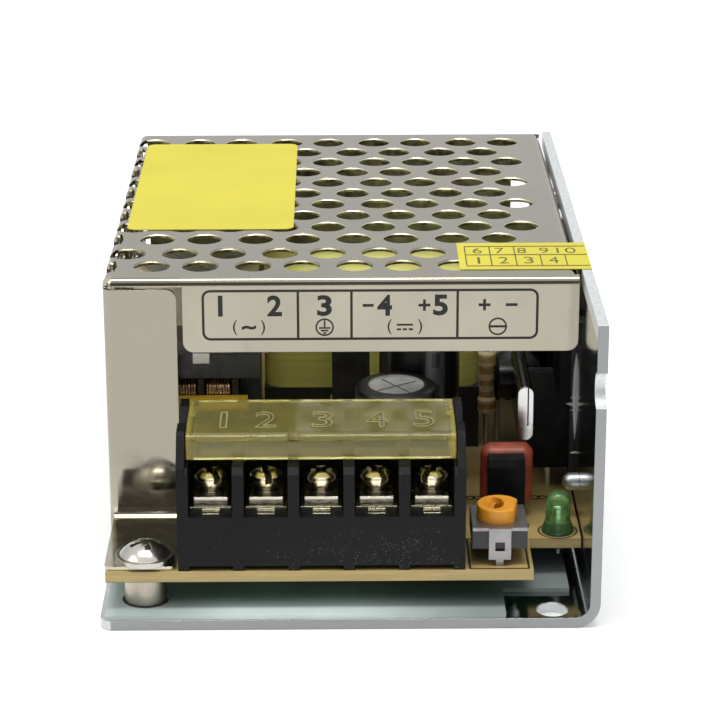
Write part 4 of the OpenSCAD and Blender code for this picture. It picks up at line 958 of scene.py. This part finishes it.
def orange_plastic(colour):
    """Orange moulding with painted shade in its hollow, and a few grains of dirt."""
    high = span("trimmer_rotor")[1]
    orange = Finish("rotor_orange", colour, 0.35, edge=0.1)
    # Painted shade: the hollow darkens towards its floor
    depth = orange.ease(orange.z, high.z - 0.9, high.z - 0.25, 1.0, 0.0)
    hollow = depth * (orange.from_axis(high.x - 2.3, middle("trimmer_rotor").y) < 1.95)
    grains = orange.specks(0.4, 0.4, 0.25) * (orange.x > high.x - 1.6)
    body = orange.mix(0.85 * hollow, orange.cloud(colour, 2.5, 0.9, 1.08), shade(colour, 0.4))
    body = orange.mix(0.6 * grains, body, shade(colour, 0.35))
    return orange.grained(body, (0.3, 3), 0.27, 0.18, 0.006)


class SUPPLY_OT_trimmer(bpy.types.Operator):
    """Dresses the output adjuster and adds its hollow knob"""

    bl_idname = "supply.trimmer"
    bl_label = "Adjuster"

    def execute(self, context):
        rotor = context.scene.supply_colours.rotor
        dress(plain_plastic("trimmer_black", (0.03, 0.03, 0.032)), "trimmer_body")
        grey = bright_metal("trimmer_metal", (0.36, 0.35, 0.35), 0.42, tarnish=(0.2, 0.18, 0.16))
        dress(grey, "trimmer_frame")
        orange = orange_plastic(rotor)
        add_piece(
            "rotor_knob", hollow_rotor(), orange, "adjuster", ("trimmer_rotor",), smooth=35
        )
        return {"FINISHED"}


def green_lens(colour):
    lens = Finish("lamp_green", colour, 0.1, edge=0.1, transmission_weight=0.82, ior=1.5)
    low, high = span("indicator_lamp")
    swirl = lens.noise(1.2, 3)
    deep = lens.ease(lens.z, low.z, high.z, 0.75, 1.1)
    body = lens.mix(lens.ease(swirl * deep, 0.2, 0.7), shade(colour, 0.75), shade(colour, 1.3))
    return lens.done(body, 0.05 + 0.1 * lens.noise(0.5), 0.004 * lens.noise(0.8))


def lamp_posts():
    """The two posts cast into the lamp, one behind the other: a thin one, and one with a cup on its top."""
    low, high = span("indicator_lamp")
    mid = (low + high) / 2
    posts = Print(0.4)
    z = low.z
    for side, wide, reach in ((-1, 0.36, 3.1), (1, 0.44, 2.5)):
        y = mid.y + side * 0.42
        posts.bar(y - wide / 2, z + 0.05, y + wide / 2, z + reach)
    cup = [(0.1, 2.5), (0.66, 2.5), (0.86, 3.1), (0.72, 3.1), (0.5, 2.75), (0.28, 3.1), (0.08, 3.1)]
    posts.plate([(mid.y + py, z + pz) for py, pz in cup])
    return posts.mesh((mid.x - 0.2, 0, 0), (0, 1, 0), (0, 0, 1))


class SUPPLY_OT_lamp(bpy.types.Operator):
    """Dresses the indicator lamp and adds the posts inside it"""

    bl_idname = "supply.lamp"
    bl_label = "Indicator lamp"

    def execute(self, context):
        dress(green_lens(context.scene.supply_colours.lamp), "indicator_lamp")
        post = bright_metal("lamp_post_metal", (0.8, 0.8, 0.78), 0.2)
        add_piece("lamp_posts", lamp_posts(), post)
        return {"FINISHED"}


def tinned_legs(finish, top, colour):
    """Colour and metal of a part whose legs, below a height, are tinned wire."""
    legs = finish.z < top
    return finish.mix(legs, colour, (0.74, 0.73, 0.70)), legs


def can_sleeve(name, node, sleeve, facing):
    """Shrunk sleeve with a paler stripe that has bars on it, and a bright scored top
    with painted shade in its scores.
    """
    low, high = span(node)
    mid = (low + high) / 2
    radius = (high.x - low.x) / 2
    top_r, bar_step = radius - 1.65, 4.2
    # Cosines of half the angle that the stripe and its bars take up
    stripe_cos, bar_cos = 0.965, 0.994
    can = Finish(name, sleeve, 0.3, edge=0.1, coat_weight=0.3, coat_roughness=0.15)
    away = can.from_axis(mid.x, mid.y)
    lid = (away < top_r + 0.02) * (can.z > high.z - 0.6)
    rim = can.ease(away, top_r, top_r + 0.5, 1.0, 0.0) * (can.z > high.z - 0.2)
    turn = math.radians(facing)
    toward = ((can.x - mid.x) * math.cos(turn) + (can.y - mid.y) * math.sin(turn)) / away
    band = toward > stripe_cos
    step = can.maths("FRACT", can.z / bar_step, 0.0)
    marks = (abs(step - 0.5) < 0.22) * (toward > bar_cos)
    wrinkle = can.noise(0.8, 3, (1, 1, 4))
    colour = can.cloud(sleeve, 4, 0.8, 1.4)
    colour = can.mix(band * (can.z < high.z - 0.7), colour, (0.09, 0.09, 0.094))
    colour = can.mix(marks, colour, sleeve)
    colour = can.mix(rim * wrinkle, colour, (0.16, 0.11, 0.07))
    # Painted shade in the scored lines of the top
    score_shade = lid * (can.z < high.z - 0.3)
    disc = can.mix(score_shade, can.cloud((0.68, 0.68, 0.66), 2, 0.86, 1.06), (0.3, 0.3, 0.3))
    colour = can.mix(lid, colour, disc)
    return can.done(colour, 0.26 + 0.16 * wrinkle + 0.14 * lid, 0.012 * wrinkle, 0.3 * lid)


def dipped(name, colour, leg_top, pits=0.02):
    """Resin dip: glossy, with an orange-peel skin above its legs."""
    dip = Finish(name, colour, 0.4, edge=0.1, coat_weight=0.12, coat_roughness=0.2)
    skin = dip.noise(0.7, 3, (1, 1, 1.5), 0.3)
    body, legs = tinned_legs(dip, leg_top, dip.cloud(colour, 2.2, 0.75, 1.25))
    return dip.done(body, 0.36 + 0.2 * skin, pits * skin * (1 - legs), legs)


def boxed_capacitor(colour):
    """Moulded yellow box with a flat sheen and tinned legs."""
    box = Finish("box_yellow", colour, 0.38, edge=0.15)
    leg_top = span("line_capacitor")[0].z + 0.4
    body, legs = tinned_legs(box, leg_top, box.cloud(colour, 5, 0.9, 1.06))
    return box.grained(body, (0.3, 3), 0.3, 0.2, 0.006, legs)


class SUPPLY_OT_capacitors(bpy.types.Operator):
    """Dresses the capacitors"""

    bl_idname = "supply.capacitors"
    bl_label = "Capacitors"

    def execute(self, context):
        board = span("circuit_board")[1].z
        black = (0.008, 0.008, 0.009)
        for material, name, sleeve, facing in (
            ("can_sleeve_output_capacitor_front", "output_capacitor_front", black, 200),
            ("can_sleeve_output_capacitor_rear", "output_capacitor_rear", black, -68),
            ("can_sleeve_supply", "supply_capacitor", black, 30),
            ("bulk_sleeve", "bulk_capacitor", (0.66, 0.57, 0.41), 20),
        ):
            dress(can_sleeve(material, name, sleeve, facing), name)
        dip = context.scene.supply_colours.dip
        dress(dipped("dipped_red", dip, board + 1.1), "film_capacitor")
        dress(dipped("disc_blue", (0.04, 0.12, 0.42), board + 1.0), "safety_capacitor")
        dress(boxed_capacitor((0.30, 0.25, 0.10)), "line_capacitor")
        return {"FINISHED"}


def black_package(name, leg_top):
    """Matt black package with tinned legs."""
    black = (0.006, 0.006, 0.007)
    pack = Finish(name, black, 0.5, edge=0.12, specular_ior_level=0.12)
    grain = pack.noise(0.18, 3)
    body, legs = tinned_legs(pack, leg_top, pack.cloud(black, 1.6, 0.75, 1.6))
    return pack.done(body, 0.42 + 0.2 * grain - 0.2 * legs, 0.01 * grain, legs)


def ringed_lacquer(lacquer, tan, grain, drift, rings, wire):
    """Finish of a resistor: coloured rings on tan lacquer, and tinned wire."""
    body = lacquer.bands(*rings, lacquer.cloud(tan, drift, 0.85, 1.1))
    return lacquer.grained(lacquer.mix(wire, body, (0.74, 0.72, 0.66)), (grain, 3), 0.22, 0.16, 0.01, wire)


def standing_bands():
    """The resistor that stands on its end, with faint brown rings."""
    low = span("standing_resistor")[0]
    foot, top, back = low.z + 6.6, low.z + 15.0, low.y + 2.33
    tan = (0.92, 0.70, 0.38)
    browns = (
        (0.58, 0.33, 0.13), (0.62, 0.38, 0.15), (0.52, 0.28, 0.11), (0.64, 0.42, 0.16), (0.66, 0.46, 0.17)
    )
    lacquer = Finish("resistor_beige", tan, 0.3, edge=0.08, coat_weight=0.4)
    rings = (lacquer.z, foot + 1.1, 0.75, 1.55, browns)
    wire = 1 - between(lacquer.z, foot, top) * (lacquer.y < back)
    return ringed_lacquer(lacquer, tan, 0.5, 1.5, rings, wire)


def flat_bands():
    """The small resistors that lie on the board."""
    mid = middle("board_resistors").x
    tan = (0.66, 0.46, 0.22)
    inks = ((0.18, 0.07, 0.02), (0.02, 0.015, 0.012), (0.55, 0.16, 0.02), (0.6, 0.42, 0.1))
    lacquer = Finish("resistor_small", tan, 0.3, edge=0.08, coat_weight=0.4)
    rings = (lacquer.x, mid - 1.5, 0.45, 0.85, inks)
    return ringed_lacquer(lacquer, tan, 0.4, 1.2, rings, abs(lacquer.x - mid) > 2.9)


def fuse_body():
    """Pale ceramic tube between bright end caps."""
    low, high = span("fuse")
    pale, cap = (0.72, 0.68, 0.58), 2.4
    tube = Finish("fuse_body", pale, 0.3, edge=0.08, coat_weight=0.3)
    caps = abs(tube.x - (low.x + high.x) / 2) > (high.x - low.x) / 2 - cap
    body = tube.mix(caps, tube.cloud(pale, 2, 0.9, 1.08), (0.78, 0.77, 0.74))
    return tube.grained(body, (0.6, 3), 0.2, 0.2, 0.006, caps)


def white_paste():
    white = (0.78, 0.79, 0.77)
    paste = Finish("paste_white", white, 0.55)
    return paste.grained(paste.cloud(white, 0.9, 0.82, 1.1), (0.4, 4), 0.4, 0.3, 0.05)


def paste_dabs(seed):
    """Dabs of white paste left on the wall and on the pad's edge beside the rectifier."""
    chance = random.Random(seed)
    dabs = bmesh.new()
    low, high = span("thermal_pads")
    wall, edge = high.x, low.y
    for y, z, size in (
        (24.1, 9.4, 0.3), (23.8, 12.4, 0.24), (edge, 18.4, 0.5), (edge, 17.6, 0.3), (edge, 19.2, 0.26)
    ):
        made = bmesh.ops.create_icosphere(dabs, subdivisions=2, radius=size)["verts"]
        stretch = Vector((2.2, 0.8, chance.uniform(0.5, 1.0)))
        for vert in made:
            vert.co = vert.co * stretch * chance.uniform(0.6, 1.15)
            vert.co.x = min(vert.co.x, 0.02)
            vert.co = CORNER + (vert.co + Vector((wall, y, z))) * MM
    bmesh.ops.recalc_face_normals(dabs, faces=dabs.faces)
    return settle(dabs)


def pad_edge():
    """Front edge of the pad beside the rectifier, bulging in a lens shape; its pale grey is a painted
    highlight.
    """
    low, high = span("thermal_pads")
    edge = Print(0.4)
    foot, top, wide, count = 13.8, 25.1, 0.34, 14
    outline = [(high.x, foot), (high.x, top)]
    for i in range(1, count):
        share = i / count
        bulge = wide * math.sin(math.pi * share ** 0.8)
        outline.append((high.x - 0.02 - bulge, top + (foot - top) * share))
    edge.plate(outline)
    return edge.mesh((0, low.y, 0), *UPRIGHT)


class SUPPLY_OT_packages(bpy.types.Operator):
    """Dresses packages, resistors, fuse and pads, and adds the pad's pale edge, a painted highlight, and
    dabs of paste
    """

    bl_idname = "supply.packages"
    bl_label = "Packages and small parts"

    def execute(self, context):
        board = span("circuit_board")[1].z
        dress(black_package("package_black_front", board + 2.18), "regulator")
        dress(black_package("package_black", board + 3.38), "output_rectifier", "switch_transistor")
        dress(black_package("chip_black", board + 0.4), "control_chip")
        dress(black_package("bridge_black", board + 1.2), "bridge_rectifier")
        dress(dipped("disc_black", (0.008, 0.008, 0.009), board + 5.9, 0.015), "thermistor")
        dress(plain_plastic("opto_white", (0.75, 0.74, 0.70), 0.4), "optocoupler")
        # Painted highlight: the pad's edge is pale grey on the dark pad
        pad = plain_plastic("pad_grey", (0.80, 0.80, 0.77), 0.6, 0.5)
        dress(plain_plastic("pad_dark", (0.03, 0.03, 0.03), 0.6, 0.5), "thermal_pads")
        add_piece("pad_edge", pad_edge(), pad, smooth=40)
        dress(standing_bands(), "standing_resistor")
        dress(flat_bands(), "board_resistors")
        dress(fuse_body(), "fuse")
        dabs = paste_dabs(context.scene.supply_sizes.seed)
        add_piece("paste_dabs", dabs, white_paste(), smooth=60)
        return {"FINISHED"}


def grey_ferrite():
    """Sintered core: dark, fine-grained and ground on its faces."""
    dark = (0.035, 0.034, 0.033)
    core = Finish("ferrite", dark, 0.45, edge=0.15)
    grain = core.noise(0.15, 4)
    chips = core.specks(1.1, 0.16, 0.3)
    body = core.mix(0.6 * chips, core.cloud(dark, 2, 0.75, 1.5), (0.12, 0.12, 0.12))
    return core.done(body, 0.36 + 0.26 * grain, 0.012 * grain - 0.02 * chips)


def wound_tape(colour):
    """Glossy yellow tape, its turns showing as faint edges and its skin slightly wrinkled."""
    tape = Finish("tape_yellow", colour, 0.35, edge=0.25, coat_weight=0.1, coat_roughness=0.2)
    wrinkle = tape.noise(2.4, 3, (1, 1, 2.2), 0.6)
    under = tape.noise(1.1, 2, (14, 14, 0.5))
    edges = abs(tape.maths("FRACT", tape.z / 4.1 + 0.06 * wrinkle, 0.0) - 0.5) < 0.03
    ground = tape.tones(under, colour, 0.92, 1.05)
    return tape.done(
        tape.mix(0.2 * edges, ground, shade(colour, 0.6)),
        0.22 + 0.2 * wrinkle,
        0.05 * wrinkle + 0.015 * under + 0.01 * edges,
    )


class SUPPLY_OT_transformer(bpy.types.Operator):
    """Dresses the transformer"""

    bl_idname = "supply.transformer"
    bl_label = "Transformer"

    def execute(self, context):
        tape = wound_tape(context.scene.supply_colours.tape)
        dress(grey_ferrite(), "transformer_core", "choke_core")
        dress(plain_plastic("bobbin_black", (0.025, 0.025, 0.027), 0.4), "transformer_bobbin")
        dress(tape, "transformer_winding", "transformer_tape")
        return {"FINISHED"}


def lacquered_wire(colour):
    """Enamelled copper: a brown metal under clear lacquer."""
    wire = Finish("copper_wire", colour, 0.24, 0.85, coat_weight=0.5, coat_roughness=0.1)
    tone = wire.noise(0.7, 4, (0.35, 1, 1))
    return wire.done(wire.tones(tone, colour, 0.25, 1.4), 0.14 + 0.16 * wire.noise(0.4))


def choke_coils(sizes, material):
    """Two coils of round wire, in two layers, wound round the level lower limb of the choke."""
    coil = Grower("choke coils", {"Wire radius": "NodeSocketFloat", "Sides": "NodeSocketInt"}, material)
    path = coil.node("GeometryNodeMeshToCurve", {0: coil.input("Geometry")})
    sockets = {"Resolution": coil.input("Sides"), "Radius": coil.input("Wire radius")}
    section = coil.node("GeometryNodeCurvePrimitiveCircle", sockets)
    sockets = {"Curve": path, "Profile Curve": section, "Fill Caps": True}
    coil.end(coil.node("GeometryNodeCurveToMesh", sockets))
    chance = random.Random(sizes.seed)
    low, high = span("choke_winding")
    mid_y = (low.y + high.y) / 2
    radius = sizes.wire / 2
    gap = (low.x + 5.5, low.x + 6.3)
    points, edges = [], []
    for start, end in ((low.x, gap[0]), (gap[1], high.x)):
        for layer in (0, 1):
            inset = radius + 0.03 + layer * sizes.wire * 0.92
            bend = 1.5 - layer * 0.4
            loop = rounded(low.y + inset, low.z + inset, high.y - inset, high.z - inset, bend, 3)
            turns = int((end - start - 0.04) / (sizes.wire * 1.02)) - layer
            steps = turns * len(loop)
            margin = radius + 0.02 + layer * radius
            run = end - start - 2 * margin
            first = len(points)
            for i in range(steps + 1):
                y, z = loop[i % len(loop)]
                lean = chance.uniform(-0.03, 0.0) * (1 - layer)
                y = (y - mid_y) * (1 + lean * 0.35) + mid_y
                points.append((start + margin + run * i / steps, y, z))
            edges += [(j, j + 1) for j in range(first, len(points) - 1)]
    return coil.grow(points, edges, {"Wire radius": radius * MM, "Sides": 8})


def railed_bobbin(colour):
    """Bobbin with black flanges and a bright rail along its front."""
    rail = span("choke_bobbin")[0].y + 0.88
    bobbin = Finish("bobbin_yellow", colour, 0.35, edge=0.1)
    body = bobbin.mix(bobbin.y < rail, (0.01, 0.01, 0.011), bobbin.cloud(colour, 2.5, 0.88, 1.1))
    return bobbin.grained(body, (0.3, 3), 0.28, 0.18, 0.006)


class SUPPLY_OT_choke(bpy.types.Operator):
    """Dresses the line choke and winds its coils"""

    bl_idname = "supply.choke"
    bl_label = "Line choke"

    def execute(self, context):
        scene = context.scene
        wire = lacquered_wire(scene.supply_colours.copper)
        coils = choke_coils(scene.supply_sizes, wire)
        add_piece("choke_coils", coils, wire, stands_for=("choke_winding",), smooth=60)
        dress(railed_bobbin((0.78, 0.50, 0.03)), "choke_bobbin")
        dress(bright_metal("clip_metal", (0.5, 0.49, 0.48), 0.3), "choke_clip")
        return {"FINISHED"}


def yellow_sticker(colour):
    """Smooth yellow film with a faint drift of tone and a slightly uneven bond."""
    film = Finish("label_yellow", colour, 0.5, edge=0.03, specular_ior_level=0.05)
    body = film.cloud(colour, 12, 0.96, 1.02)
    return film.done(body, 0.42 + 0.16 * film.noise(1.5, 3), 0.006 * film.noise(6, 2))


def flange_legend(sizes):
    """Legend of the terminals: framed cells with their numerals and plain signs."""
    legend = Print(0.02)
    line = sizes.ink_line
    left, right, base, top = 11.7, 51.5, 29.3, 35.6
    upper, lower = 33.6, 30.9
    legend.frame(left, base, right, top, 1.0, line)
    for x in (23.06, 29.38, 41.92):
        legend.bar(x - line / 2, base + line, x + line / 2, top - line)

    bold, wide, stroke = 0.08, 1.75, 0.34
    legend.sign("1", 13.9, upper, sizes.sign_height, bold=bold)
    for text, x in (("2", 20.3), ("3", 26.2), ("4", 33.3), ("5", 39.9)):
        legend.sign(text, x, upper, sizes.sign_height, wide, bold)
    for x in (38.0, 45.1):
        legend.plus(x, upper, 1.4, stroke)
    for x0, x1 in ((30.7, 32.0), (47.6, 49.0)):
        legend.bar(x0, upper - stroke / 2, x1, upper + stroke / 2)

    for text, x in (("(", 15.6), (")", 18.9), ("(", 33.9), (")", 37.5)):
        legend.sign(text, x, lower, 1.9)
    legend.sign("~", 17.25, lower, 0.62, 1.7, 0.03)
    direct = 34.75
    legend.bar(direct, lower + 0.15, direct + 1.9, lower + 0.38)
    for i in range(3):
        legend.bar(direct + i * 0.7, lower - 0.42, direct + i * 0.7 + 0.5, lower - 0.19)
    earth, slot = 26.2, 46.7
    for x in (earth, slot):
        legend.ring(x, lower, 1.1, 0.2)
    legend.bar(slot - 0.95, lower - 0.14, slot + 0.95, lower + 0.14)
    legend.bar(earth - 0.1, lower, earth + 0.1, lower + 0.85)
    for drop, half in ((0.0, 0.68), (-0.32, 0.44), (-0.62, 0.2)):
        legend.bar(earth - half, lower + drop - 0.19, earth + half, lower + drop)
    flange = 17.8
    return legend.mesh((0, flange, 0), *UPRIGHT)


def seal_sticker(depth):
    """The seal sticker, its upper face set down by the depth of the ink that lies on it."""
    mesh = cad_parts["seal_label"].data.copy()
    mesh.transform(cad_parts["seal_label"].matrix_world)
    top = max(vertex.co.z for vertex in mesh.vertices)
    for vertex in mesh.vertices:
        if vertex.co.z > top - 0.01 * MM:
            vertex.co.z = top - depth * MM
    return mesh


def seal_grid(depth):
    """Grid of the seal sticker with plain numbers in its cells."""
    sunk = 0.01
    grid = Print(depth + sunk)
    high = span("seal_label")[1]
    line, row_line = 0.14, 0.3
    left, right, cell = 43.2, high.x - 0.15, 3.0
    rows = (22.0, 26.4, 29.8)
    for y in rows:
        grid.bar(left, y - row_line / 2, right, y + row_line / 2)
    for below, above, count in ((rows[0], rows[1], 5), (rows[1], rows[2], 3)):
        for i in range(count):
            x = left + i * cell
            grid.bar(x - line / 2, below + row_line / 2, x + line / 2, above - row_line / 2)
    first, thin = left + cell / 2, -0.02
    for i, text in enumerate(("1", "2", "3", "4")):
        grid.sign(text, first + i * cell, 24.2, 2.5, 1.15 if i else None, thin)
    for i, text in enumerate(("6", "7", "8", "9", "10")):
        grid.sign(text, first + i * 2.7, 28.1, 2.1, None if i == 4 else 1.1, thin)
    return grid.mesh((0, 0, high.z - depth - sunk), *LEVEL)


class SUPPLY_OT_labels(bpy.types.Operator):
    """Dresses the stickers and adds the legend on the flange and the grid on the seal"""

    bl_idname = "supply.labels"
    bl_label = "Stickers and legend"

    def execute(self, context):
        scene = context.scene
        yellow = yellow_sticker(scene.supply_colours.label)
        dress(yellow, "top_label")
        ink_depth = 0.02
        seal = seal_sticker(ink_depth)
        add_piece("seal_sticker", seal, yellow, stands_for=("seal_label",))
        ink = printing_ink("legend_ink", scene.supply_colours.ink)
        add_piece("flange_legend", flange_legend(scene.supply_sizes), ink)
        brown_ink = printing_ink("seal_ink", (0.07, 0.055, 0.01))
        add_piece("seal_grid", seal_grid(ink_depth), brown_ink)
        return {"FINISHED"}


STEPS = (
    SUPPLY_OT_stage, SUPPLY_OT_sheet_metal, SUPPLY_OT_fasteners, SUPPLY_OT_board, SUPPLY_OT_terminal_block,
    SUPPLY_OT_terminal_cover, SUPPLY_OT_trimmer, SUPPLY_OT_lamp, SUPPLY_OT_capacitors, SUPPLY_OT_packages,
    SUPPLY_OT_transformer, SUPPLY_OT_choke, SUPPLY_OT_labels,
)


class SUPPLY_PT_panel(bpy.types.Panel):
    """Steps, colours and sizes of the power supply"""

    bl_idname = "SUPPLY_PT_panel"
    bl_label = "Power supply"
    bl_space_type = "VIEW_3D"
    bl_region_type = "UI"
    bl_category = "Power supply"

    def draw(self, context):
        steps = self.layout.column(align=True)
        for step in STEPS:
            steps.operator(step.bl_idname)
        scene = context.scene
        for title, group in (
            ("Colours", scene.supply_colours), ("Sizes", scene.supply_sizes), ("Stage", scene.supply_stage)
        ):
            box = self.layout.box()
            box.label(text=title)
            for name in group.__annotations__:
                box.prop(group, name)


GROUPS = {"supply_colours": SupplyColours, "supply_sizes": SupplySizes, "supply_stage": SupplyStage}


def register():
    for name, group in GROUPS.items():
        bpy.utils.register_class(group)
        setattr(bpy.types.Scene, name, PointerProperty(type=group))
    for step in STEPS:
        bpy.utils.register_class(step)
    bpy.utils.register_class(SUPPLY_PT_panel)


def unregister():
    bpy.utils.unregister_class(SUPPLY_PT_panel)
    for step in reversed(STEPS):
        bpy.utils.unregister_class(step)
    for name, group in reversed(GROUPS.items()):
        delattr(bpy.types.Scene, name)
        bpy.utils.unregister_class(group)


def main():
    register()
    bpy.ops.supply.stage()
    bpy.ops.supply.sheet_metal()
    bpy.ops.supply.fasteners()
    bpy.ops.supply.board()
    bpy.ops.supply.terminal_block()
    bpy.ops.supply.terminal_cover()
    bpy.ops.supply.trimmer()
    bpy.ops.supply.lamp()
    bpy.ops.supply.capacitors()
    bpy.ops.supply.packages()
    bpy.ops.supply.transformer()
    bpy.ops.supply.choke()
    bpy.ops.supply.labels()


if __name__ == "__main__":
    main()
